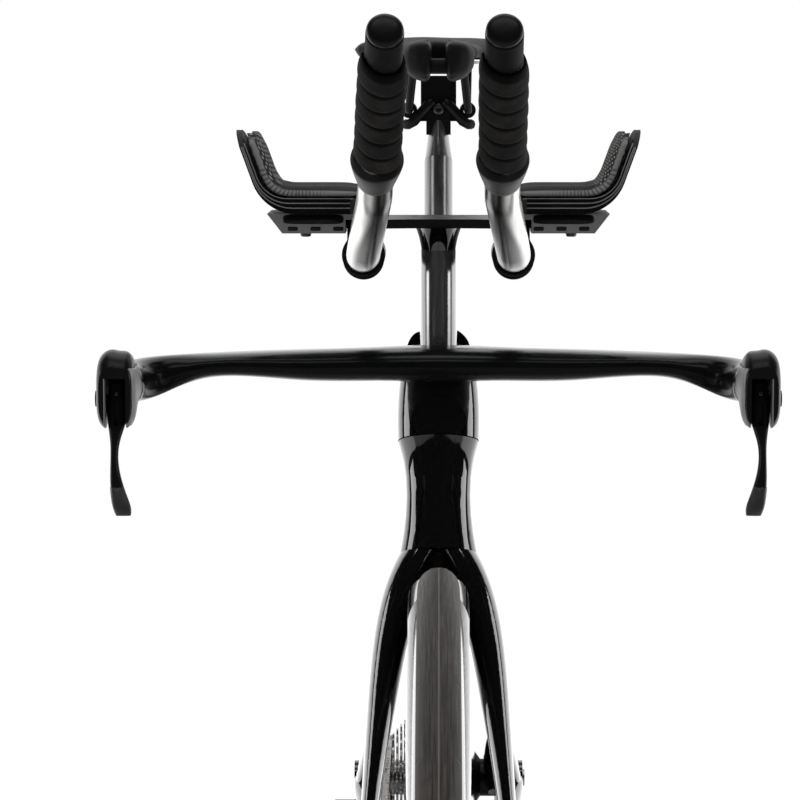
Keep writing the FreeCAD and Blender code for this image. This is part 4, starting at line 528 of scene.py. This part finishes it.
bpy.context.scene.view_settings.view_transform = "Standard"
make_camera()
make_world()
make_floor()
make_lamp("left_softbox", (2.3, 0.15, 1.15), (0, 0.0, 0.95), (1.0, 1.1), 13)
make_lamp("right_softbox", (-2.3, 0.15, 1.15), (0, 0.0, 0.95), (1.0, 1.1), 13)
make_lamp("top_strip", (0, -1.35, 3.1), (0, -0.45, 0.75), (2.2, 0.35), 12)
make_lamp("top_softbox", (0, 0.4, 3.2), (0, -0.2, 0.8), (2.0, 1.0), 16)

# Finishes of the CAD nodes
FINISHES = {
    "gloss_carbon": gloss_carbon(), "satin_carbon": satin_carbon(), "bare_carbon": bare_carbon(),
    "moulded_black": moulded_black(), "black_metal": black_metal(), "grey_metal": grey_metal(),
    "chain_steel": chain_steel(), "front_steel": brushed_steel(FRONT_AXLE),
    "rear_steel": brushed_steel(REAR_AXLE), "front_tread": tread_rubber(FRONT_AXLE),
    "rear_tread": tread_rubber(REAR_AXLE), "front_rim_carbon": rim_carbon(FRONT_AXLE),
    "rear_rim_carbon": rim_carbon(REAR_AXLE), "bar_tape": bar_tape(), "band_grey": band_grey(),
    "pad_cloth": pad_cloth(), "saddle_cover": saddle_cover(), "mirror_carbon": mirror_carbon(),
    "pale_cord": pale_cord(), "bolt_steel": bolt_steel(), "slot_black": slot_black(),
    "plate_grey": plate_grey(), "paddle_grey": paddle_grey(), "cup_black": cup_black(),
    "post_carbon": post_carbon(),
}
NODE_FINISH = {
    "frame": "gloss_carbon", "fork": "gloss_carbon", "stem": "gloss_carbon", "lower_riser": "mirror_carbon",
    "upper_riser": "mirror_carbon", "riser_cap": "gloss_carbon", "seatpost": "post_carbon",
    "storage_box": "gloss_carbon", "storage_lid": "gloss_carbon", "right_crank": "gloss_carbon",
    "left_crank": "gloss_carbon", "left_extension": "bare_carbon", "right_extension": "bare_carbon",
    "front_rim": "front_rim_carbon", "rear_disc": "rear_rim_carbon", "base_bar": "satin_carbon",
    "left_arm_cup": "cup_black", "right_arm_cup": "cup_black", "saddle_shell": "satin_carbon",
    "left_lever_body": "moulded_black", "right_lever_body": "moulded_black", "left_shifter": "cup_black",
    "right_shifter": "cup_black", "left_shift_button": "moulded_black",
    "right_shift_button": "moulded_black", "left_pedal": "moulded_black", "right_pedal": "moulded_black",
    "derailleur_body": "moulded_black", "upper_jockey_wheel": "moulded_black",
    "lower_jockey_wheel": "moulded_black", "left_brake_lever": "black_metal",
    "right_brake_lever": "black_metal", "bridge_plate": "black_metal", "extension_clamps": "black_metal",
    "rail_clamp": "black_metal", "front_caliper": "black_metal", "rear_caliper": "black_metal",
    "derailleur_cage": "black_metal", "derailleur_hanger": "black_metal", "front_hub": "black_metal",
    "rear_hub": "black_metal", "headset_bearings": "black_metal", "pad_brackets": "grey_metal",
    "bottom_bracket": "grey_metal", "chain": "chain_steel", "chainring": "black_metal",
    "cassette": "rear_steel", "front_axle": "front_steel", "rear_axle": "rear_steel",
    "front_rotor": "front_steel", "rear_rotor": "rear_steel", "saddle_rails": "black_metal",
    "front_spokes": "black_metal", "front_tyre": "front_tread", "rear_tyre": "rear_tread",
    "left_arm_pad": "pad_cloth", "right_arm_pad": "pad_cloth", "left_grip_tape": "bar_tape",
    "right_grip_tape": "bar_tape", "saddle_pad": "saddle_cover",
}
for node_name, finish_name in NODE_FINISH.items():
    mesh = nodes[node_name].data
    mesh.materials.clear()
    mesh.materials.append(FINISHES[finish_name])


# Making pieces
def new_piece(name, mesh, finish, body):
    """A finished piece that rides on a body."""
    piece = bpy.data.objects.new(name, mesh)
    bpy.context.scene.collection.objects.link(piece)
    mesh.materials.clear()
    mesh.materials.append(FINISHES[finish])
    for face in mesh.polygons:
        face.use_smooth = True
    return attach(piece, body)


def skin(name, rows):
    """A closed mesh through rows of points; each row is a ring, and the end rows are filled in."""
    mesh = bpy.data.meshes.new(name)
    work = bmesh.new()
    rings = [[work.verts.new(point) for point in row] for row in rows]
    for first, second in zip(rings, rings[1:]):
        count = len(first)
        for step in range(count):
            after = (step + 1) % count
            work.faces.new((first[step], first[after], second[after], second[step]))
    work.faces.new(list(reversed(rings[0])))
    work.faces.new(rings[-1])
    bmesh.ops.recalc_face_normals(work, faces=work.faces)
    work.to_mesh(mesh)
    work.free()
    return mesh


def upright_frame(heading):
    """Two directions square to a heading, for rings round it."""
    side = heading.cross(Vector((0, 0, 1)))
    side = side.normalized() if side.length > 0.01 else Vector((1, 0, 0))
    return side, side.cross(heading).normalized()


def ring(centre, side, top, radius, count):
    """Points round a centre, from its side towards its top."""
    angles = [2 * math.pi * step / count for step in range(count)]
    return [centre + (side * math.cos(a) + top * math.sin(a)) * radius for a in angles]


def turned(name, foot, heading, profile, steps=48):
    """A turned piece: the profile lists distance along the heading and radius."""
    heading = Vector(heading).normalized()
    side, top = upright_frame(heading)
    foot = Vector(foot)
    return skin(name, [ring(foot + heading * along, side, top, radius, steps) for along, radius in profile])


def settled(piece):
    """Turn a piece's modifiers into its mesh."""
    view = bpy.context.evaluated_depsgraph_get()
    mesh = bpy.data.meshes.new_from_object(piece.evaluated_get(view))
    piece.modifiers.clear()
    piece.data = mesh
    return mesh


# Arm pads and saddle cover
CLOTH_STEPS, CLOTH_PRESSURE = 20, 4


def inflate(piece, held, most):
    """Swell a cover by air pressure; points in held stay, and none moves further than most."""
    start = [vertex.co.copy() for vertex in piece.data.vertices]
    group = piece.vertex_groups.new(name="held")
    group.add(held, 1.0, "REPLACE")
    cloth = piece.modifiers.new("cloth", "CLOTH")
    cloth.settings.quality = 4
    cloth.settings.use_pressure = True
    cloth.settings.uniform_pressure_force = CLOTH_PRESSURE
    cloth.settings.effector_weights.gravity = 0
    cloth.settings.vertex_group_mass = "held"
    cloth.point_cache.frame_end = CLOTH_STEPS
    for step in range(1, CLOTH_STEPS + 1):
        bpy.context.scene.frame_set(step)
    mesh = settled(piece)
    for vertex, rest in zip(mesh.vertices, start):
        move = vertex.co - rest
        if move.length > most:
            vertex.co = rest + move * (most / move.length)
    piece.vertex_groups.clear()
    bpy.context.scene.frame_set(1)


def soft_cover(node, name, body, finish, voxel, swell, is_held):
    """A padded cover grown from the space of a CAD node."""
    mesh = nodes[node].data.copy()
    piece = new_piece(name, mesh, finish, body)
    remesh = piece.modifiers.new("remesh", "REMESH")
    remesh.mode = "VOXEL"
    remesh.voxel_size = voxel
    mesh = settled(piece)
    normals = [vertex.normal.copy() for vertex in mesh.vertices]
    for vertex, normal in zip(mesh.vertices, normals):
        vertex.co -= normal * (swell * 0.5)
    held = [vertex.index for vertex in mesh.vertices if is_held(normals[vertex.index])]
    inflate(piece, held, swell)
    smooth = piece.modifiers.new("smooth", "SMOOTH")
    smooth.factor, smooth.iterations = 0.5, 4
    piece.modifiers.new("finer", "SUBSURF").render_levels = 1
    piece.modifiers["finer"].levels = 1
    mesh = settled(piece)
    mesh.materials.clear()
    mesh.materials.append(FINISHES[finish])
    for face in mesh.polygons:
        face.use_smooth = True
    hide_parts(node)
    return piece


PAD_FRONT, PAD_TOP, PAD_WING_TOP = -0.338, 0.907, 0.942
PAD_INNER, PAD_CORNER, PAD_RADIUS, PAD_LEAN = 0.05, 0.107, 0.014, math.radians(20)
GATHER_DEPTH, GATHER_CENTRE, GATHER_REACH, WALL_DEPTH = 0.00035, 0.104, 0.02, 0.009
WELT_RADIUS, WELT_FACE = 0.00042, PAD_FRONT - 0.0011
# Each welt: inset from the pad, distance below the floor, outside the wing and short of the ends, and its Y
WELTS = {
    "upper": (0.0068, 0.0002, 0.0, 0.0055, PAD_FRONT - 0.0004),
    "middle": (0.0071, 0.0028, 0.0012, 0.008, WELT_FACE),
    "lower": (0.0071, 0.006, 0.0022, 0.008, WELT_FACE),
}
BRACKET_FACE, BRACKET_SLOTS = -0.3317, (0.066, 0.081, 0.096)


def rest_line(side, inset, below, outside, shrink, y):
    """The L-shaped line round an arm rest's section, so far below its floor and outside its wing."""
    floor = PAD_TOP - inset
    normal = Vector((-math.cos(PAD_LEAN), 0, math.sin(PAD_LEAN)))
    climb = Vector((math.sin(PAD_LEAN), 0, math.cos(PAD_LEAN)))
    foot = Vector((PAD_CORNER, y, floor)) - normal * (inset + outside)
    elbow = foot + climb * ((floor - below - foot.z) / climb.z)
    bend = PAD_RADIUS + inset + below
    reach = bend * math.tan((math.pi / 2 - PAD_LEAN) / 2)
    centre = elbow + Vector((-reach, 0, bend))
    points = [Vector((PAD_INNER + shrink, y, elbow.z))]
    for step in range(13):
        angle = -math.pi / 2 + (math.pi / 2 - PAD_LEAN) * step / 12
        points.append(centre + Vector((math.cos(angle), 0, math.sin(angle))) * bend)
    top = PAD_WING_TOP - shrink
    points.append(elbow + climb * ((top - elbow.z) / climb.z))
    return [Vector((point.x * side, point.y, point.z)) for point in points]


def welt(name, points, radius, finish, body):
    """A thin round cord along a line."""
    rows = []
    for index, point in enumerate(points):
        before, after = points[max(index - 1, 0)], points[min(index + 1, len(points) - 1)]
        side, top = upright_frame((after - before).normalized())
        rows.append(ring(point, side, top, radius, 8))
    new_piece(name, skin(name, rows), finish, body)


def make_arm_rest(hand, side):
    """A swollen pad with gathers in its front wall, and welts between the layers below it, coloured pale as a
    painted highlight.
    """
    def under(normal):
        return normal.z < -0.5 or normal.x * side > 0.5

    pad = soft_cover(hand + "_arm_pad", hand + "_pad_cover", "steering", "pad_cloth",
                     0.0024, 0.0012, under)
    for vertex in pad.data.vertices:
        place = vertex.co
        front = max(0.0, 1 - (place.y - PAD_FRONT) / WALL_DEPTH)
        bend = max(0.0, 1 - abs(abs(place.x) - GATHER_CENTRE) / GATHER_REACH)
        gather = math.sin((abs(place.x) * 1.1 + place.z * 0.9) * 2600)
        place.y -= GATHER_DEPTH * gather * min(1.0, front) * (0.25 + 0.75 * bend)
    for level, measures in WELTS.items():
        points = rest_line(side, *measures)
        # Pale welts: their pale colour is a painted highlight along the layer edges.
        welt(f"{hand}_{level}_welt", points, WELT_RADIUS, "pale_cord", "steering")
    make_plate(hand + "_bracket_bar", Vector((0.0825 * side, BRACKET_FACE, 0.8863)), (0.02, 0.0031), 0.0022,
               "moulded_black", "steering")
    # Dark plates painted as the shade inside the bracket's slots.
    for number, x in enumerate(BRACKET_SLOTS):
        make_plate(f"{hand}_bracket_slot_{number}", Vector((x * side, BRACKET_FACE, 0.8801)),
                   (0.0034, 0.0014), 0.0003, "slot_black", "steering")


PLATE_POINTS, PLATE_SQUARENESS = 28, 0.4


def make_plate(name, centre, half, depth, finish, body):
    """A rounded plate that faces forward and stands a depth ahead of its centre."""
    rows = []
    for share, scale in ((0.0, 1.0), (0.75, 1.0), (1.0, 0.94)):
        row = []
        for step in range(PLATE_POINTS):
            angle = 2 * math.pi * step / PLATE_POINTS
            wide, tall = [math.copysign(abs(part) ** PLATE_SQUARENESS, part) * reach * scale
                          for part, reach in zip((math.cos(angle), math.sin(angle)), half)]
            row.append(centre + Vector((wide, -depth * share, tall)))
        rows.append(row)
    new_piece(name, skin(name, rows), finish, body)


# Tape on the extensions
EXTENSION_KNEE = {"left": Vector((0.0394, -0.47, 0.907)), "right": Vector((-0.0394, -0.47, 0.907))}
EXTENSION_TIP = {"left": Vector((0.0375, -0.628, 0.9915)), "right": Vector((-0.0315, -0.628, 0.9915))}
TAPE_TURNS, TAPE_PITCH, TAPE_WIDTH, TURN_STEPS = 6, 0.02, 0.023, 48
TAPE_INNER, TAPE_THICK, TAPE_RISE, TAPE_OVERLAP = 0.0114, 0.0012, 0.002, 0.0075
TAPE_PAD, EDGE_SHARE = 0.0008, 0.06
STRIP_SHARES = (-0.5, -0.493, -0.475, -0.44, -0.36, -0.22, -0.05, 0.15, 0.35, 0.5)
# Distance ahead of the tape's rear edge, and radius
COLLAR_PROFILE = [(-0.0195, TAPE_INNER), (-0.0195, 0.0119), (-0.016, 0.0124), (-0.009, 0.0138), (0.0, 0.0154),
                  (0.0065, 0.0163), (0.0075, 0.0162), (0.0078, 0.0156), (0.0078, TAPE_INNER)]
# Distance ahead of the extension's tip, and radius
DOME_PROFILE = [(0.0325, 0.0108), (0.0338, 0.0106), (0.0352, 0.0098), (0.0362, 0.0082), (0.0368, 0.0056),
                (0.037, 0.002)]


def tape_section(centre_along):
    """Along and radius round a strip: its rear edge rides up over the turn behind, and its face is padded."""
    outer, inner = [], []
    for share in STRIP_SHARES:
        lap = TAPE_INNER + TAPE_RISE * (0.5 - share)
        rounding = max(0.0, EDGE_SHARE - 0.5 - share) / EDGE_SHARE
        pad = TAPE_PAD * (1 - (2 * share) ** 2 - rounding)
        along = centre_along + share * TAPE_WIDTH
        outer.append((along, lap + TAPE_THICK + pad))
        inner.append((along, lap))
    return outer + inner[::-1]


def make_tape(hand):
    """Tape wound from the collar to the shifter, and the tapered collar that finishes it."""
    tip = EXTENSION_TIP[hand]
    heading = (tip - EXTENSION_KNEE[hand]).normalized()
    side, top = upright_frame(heading)
    start = tip - heading * (TAPE_PITCH * TAPE_TURNS + TAPE_WIDTH / 2 - TAPE_OVERLAP)
    rows = []
    for step in range(TAPE_TURNS * TURN_STEPS + 1):
        angle = 2 * math.pi * step / TURN_STEPS
        pull = 1 + 0.006 * math.sin(angle * 2.3 + 1) + 0.004 * math.sin(angle * 5.1)
        around = side * math.cos(angle) + top * math.sin(angle)
        section = tape_section(TAPE_PITCH * step / TURN_STEPS)
        rows.append([start + heading * along + around * (radius * pull) for along, radius in section])
    mesh = skin(hand + "_wound_tape", rows)
    across_strip = mesh.attributes.new("across_strip", "FLOAT", "POINT")
    across_strip.data.foreach_set("value", (STRIP_SHARES + STRIP_SHARES[::-1]) * len(rows))
    tape = new_piece(hand + "_wound_tape", mesh, "bar_tape", "steering")
    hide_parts(hand + "_grip_tape")
    rear_edge = start - heading * (TAPE_WIDTH / 2)
    collar = turned(hand + "_tape_collar", rear_edge, heading, COLLAR_PROFILE)
    new_piece(hand + "_tape_collar", collar, "band_grey", "steering")
    cap = turned(hand + "_shifter_dome", tip, heading, DOME_PROFILE)
    new_piece(hand + "_shifter_dome", cap, "moulded_black", "steering")


for hand, side in HANDS.items():
    make_tape(hand)
    make_arm_rest(hand, side)

# Saddle
SADDLE_NOSE, SADDLE_TOP, SADDLE_CHANNEL = 0.118, 1.008, 0.0105
LOBE_START, LOBE_BLEND, LOBE_WIDEN, LOBE_DEEPEN = 0.1, 0.07, 0.38, 0.22


def make_saddle_cover():
    """The saddle's cover, with its two nose lobes plumped out from the channel between them."""
    cover = soft_cover("saddle_pad", "saddle_cover", "saddle", "saddle_cover", 0.004, 0.0016,
                       lambda normal: normal.z < -0.6)
    for vertex in cover.data.vertices:
        place = vertex.co
        nose = max(0.0, min(1.0, (SADDLE_NOSE + LOBE_START - place.y) / LOBE_BLEND))
        place.x += math.copysign(max(0.0, abs(place.x) - SADDLE_CHANNEL) * LOBE_WIDEN * nose, place.x)
        place.z -= max(0.0, SADDLE_TOP - 0.006 - place.z) * LOBE_DEEPEN * nose


def make_nose_bridge():
    """The short bar that joins the two nose lobes."""
    points = [Vector((x, SADDLE_NOSE + 0.016, SADDLE_TOP - 0.022)) for x in (-0.01, -0.004, 0.004, 0.01)]
    welt("nose_bridge", points, 0.0062, "saddle_cover", "saddle")


make_saddle_cover()
make_nose_bridge()


# Levers
def patch(node, name, is_inside, lift, finish, body):
    """A thin plate that lies on part of a CAD node's surface."""
    mesh = nodes[node].data.copy()
    work = bmesh.new()
    work.from_mesh(mesh)
    outside = [face for face in work.faces if not is_inside(face.calc_center_median(), face.normal)]
    bmesh.ops.delete(work, geom=outside, context="FACES")
    bmesh.ops.remove_doubles(work, verts=work.verts, dist=0.00001)
    work.to_mesh(mesh)
    work.free()
    piece = new_piece(name, mesh, finish, body)
    skin_over = piece.modifiers.new("thickness", "SOLIDIFY")
    skin_over.thickness, skin_over.offset = lift, 1.0
    settled(piece)


LEVER_SIDE, TRIM_LIFT, PADDLE_TOP = 0.198, 0.0005, 0.7305


def make_lever_trim(hand, side):
    """The pale plate on a lever body's inner side, a dark plate painted as the shade in the blade's recess,
    and the paddle and pin head on the blade.
    """
    def inner_face(centre, normal):
        return normal.x * side < -0.45 and -0.507 < centre.y < -0.468 and 0.768 < centre.z < 0.803

    def paddle_face(centre, normal):
        return centre.z < PADDLE_TOP and normal.y < -0.3

    lever = hand + "_brake_lever"
    patch(hand + "_lever_body", hand + "_lever_side_plate", inner_face, TRIM_LIFT, "plate_grey", "steering")
    # A dark plate painted as the shade inside the blade's recess.
    make_plate(hand + "_lever_recess", Vector((LEVER_SIDE * side, -0.4925, 0.774)), (0.0018, 0.0074), 0.001,
               "slot_black", lever)
    patch(lever, hand + "_lever_paddle", paddle_face, TRIM_LIFT, "paddle_grey", lever)
    make_bolt(hand + "_lever_pin_head", (LEVER_SIDE * side, -0.4949, 0.7868), (0, -1, 0), 0.0014, lever)


# Bolts and fittings
BOLT_POINTS = 24
# Shares of a bolt's radius: distance along it, and radius
HEAD_PROFILE = ((0.0, 0.96), (0.35, 1.0), (0.62, 0.93), (0.74, 0.74), (0.76, 0.5))
SOCKET_PROFILE = ((0.72, 0.46), (0.25, 0.44))


def make_bolt(name, seat, heading, radius, body):
    """A low domed head with a six-sided socket."""
    heading = Vector(heading).normalized()
    side, top = upright_frame(heading)
    seat = Vector(seat)
    rows = []
    for along, size in HEAD_PROFILE:
        rows.append(ring(seat + heading * (radius * along), side, top, radius * size, BOLT_POINTS))
    for along, size in SOCKET_PROFILE:
        centre = seat + heading * (radius * along)
        row = []
        for step in range(BOLT_POINTS):
            angle = 2 * math.pi * step / BOLT_POINTS
            flat = math.cos(math.pi / 6) / math.cos((angle % (math.pi / 3)) - math.pi / 6)
            row.append(centre + (side * math.cos(angle) + top * math.sin(angle)) * (radius * size * flat))
        rows.append(row)
    new_piece(name, skin(name, rows), "bolt_steel", body)


def make_lock_ring(name, axle_y, seat, body):
    """A turned ring that holds a rotor on its hub."""
    profile = [(0.0, 0.0165), (0.0012, 0.0168), (0.0024, 0.016), (0.0026, 0.0135), (0.0014, 0.0128),
               (0.0014, 0.0108)]
    mesh = turned(name, (seat, axle_y, AXLE_HEIGHT), (1, 0, 0), profile, 64)
    new_piece(name, mesh, "bolt_steel", body)


VALVE_ROOT, THREAD_RIDGES, THREAD_PITCH = 0.256, 14, 0.0012


def make_valve(name, axle_y, angle, body):
    """A thin threaded valve that stands in from the rim's inner edge."""
    outward = Vector((0, math.cos(angle), math.sin(angle)))
    root = Vector((0, axle_y, AXLE_HEIGHT)) + outward * VALVE_ROOT
    profile = [(0.0, 0.003)]
    for ridge in range(THREAD_RIDGES):
        profile += [(0.0004 + ridge * THREAD_PITCH, 0.0029), (0.001 + ridge * THREAD_PITCH, 0.0025)]
    profile += [(0.019, 0.0021), (0.023, 0.0019), (0.0234, 0.0012), (0.026, 0.0012), (0.0262, 0.0006)]
    mesh = turned(name, root, -outward, profile, 20)
    new_piece(name, mesh, "bolt_steel", body)


def make_yoke_arm(hand, side):
    """A rounded arm of the saddle clamp, from its middle bolt out under a rail."""
    line = [(0.004, 0.2216, 0.957), (0.009, 0.2212, 0.954), (0.015, 0.2212, 0.947), (0.02, 0.222, 0.941),
            (0.0245, 0.224, 0.9385), (0.027, 0.227, 0.9385)]
    points = [Vector((x * side, y, z)) for x, y, z in line]
    welt(hand + "_yoke_arm", points, 0.0042, "black_metal", "saddle")


LIP_STEPS, LIP_FACE, LIP_RADIUS, LIP_END, LIP_SWELL = 32, -0.3285, 0.0132, 0.0006, 0.0026
LIP_START, LIP_SWEEP = math.radians(190), math.radians(160)


def make_clamp_lip(hand, side):
    """The thick lower edge of an extension clamp, thinning out to both ends."""
    middle = Vector((CLAMP_SIDE * side, LIP_FACE, EXTENSION_HEIGHT))
    rows = []
    for step in range(LIP_STEPS + 1):
        share = step / LIP_STEPS
        angle = LIP_START + LIP_SWEEP * share
        outward = Vector((math.cos(angle), 0, math.sin(angle)))
        thick = LIP_END + LIP_SWELL * math.sin(math.pi * share)
        rows.append(ring(middle + outward * LIP_RADIUS, outward, Vector((0, -1, 0)), thick, 12))
    mesh = skin(hand + "_clamp_lip", rows)
    new_piece(hand + "_clamp_lip", mesh, "black_metal", "steering")


CLAMP_BOLTS, PAD_BOLTS = (-0.322, -0.304), (-0.318, -0.278)
CRANK_AXLE, CHAINRING_FACE, BOLT_CIRCLE, CHAINRING_BOLTS = (0.0984, 0.266), -0.0437, 0.046, 8

make_bolt("saddle_clamp_bolt", (0, 0.2213, 0.951), (0, -1, 0), 0.0046, "saddle")
for hand, side in HANDS.items():
    make_yoke_arm(hand, side)
    make_clamp_lip(hand, side)
    make_lever_trim(hand, side)
    for number, y in enumerate(CLAMP_BOLTS):
        spot = (CLAMP_SIDE * side, y, 0.8861)
        make_bolt(f"{hand}_clamp_bolt_{number}", spot, (0, 0, 1), 0.0032, "steering")
    for number, y in enumerate(PAD_BOLTS):
        make_bolt(f"{hand}_pad_bolt_{number}", (0.088 * side, y, 0.8769), (0, 0, -1), 0.0036, "steering")
make_lock_ring("front_lock_ring", FRONT_AXLE, 0.0369, "front_wheel")
make_lock_ring("rear_lock_ring", REAR_AXLE, 0.0539, "rear_wheel")
make_valve("front_valve", FRONT_AXLE, math.radians(250), "front_wheel")
for number in range(CHAINRING_BOLTS):
    angle = 2 * math.pi * number / CHAINRING_BOLTS + 0.2
    behind, above = BOLT_CIRCLE * math.cos(angle), BOLT_CIRCLE * math.sin(angle)
    spot = (CHAINRING_FACE, CRANK_AXLE[0] + behind, CRANK_AXLE[1] + above)
    make_bolt(f"chainring_bolt_{number}", spot, (-1, 0, 0), 0.0038, "cranks")
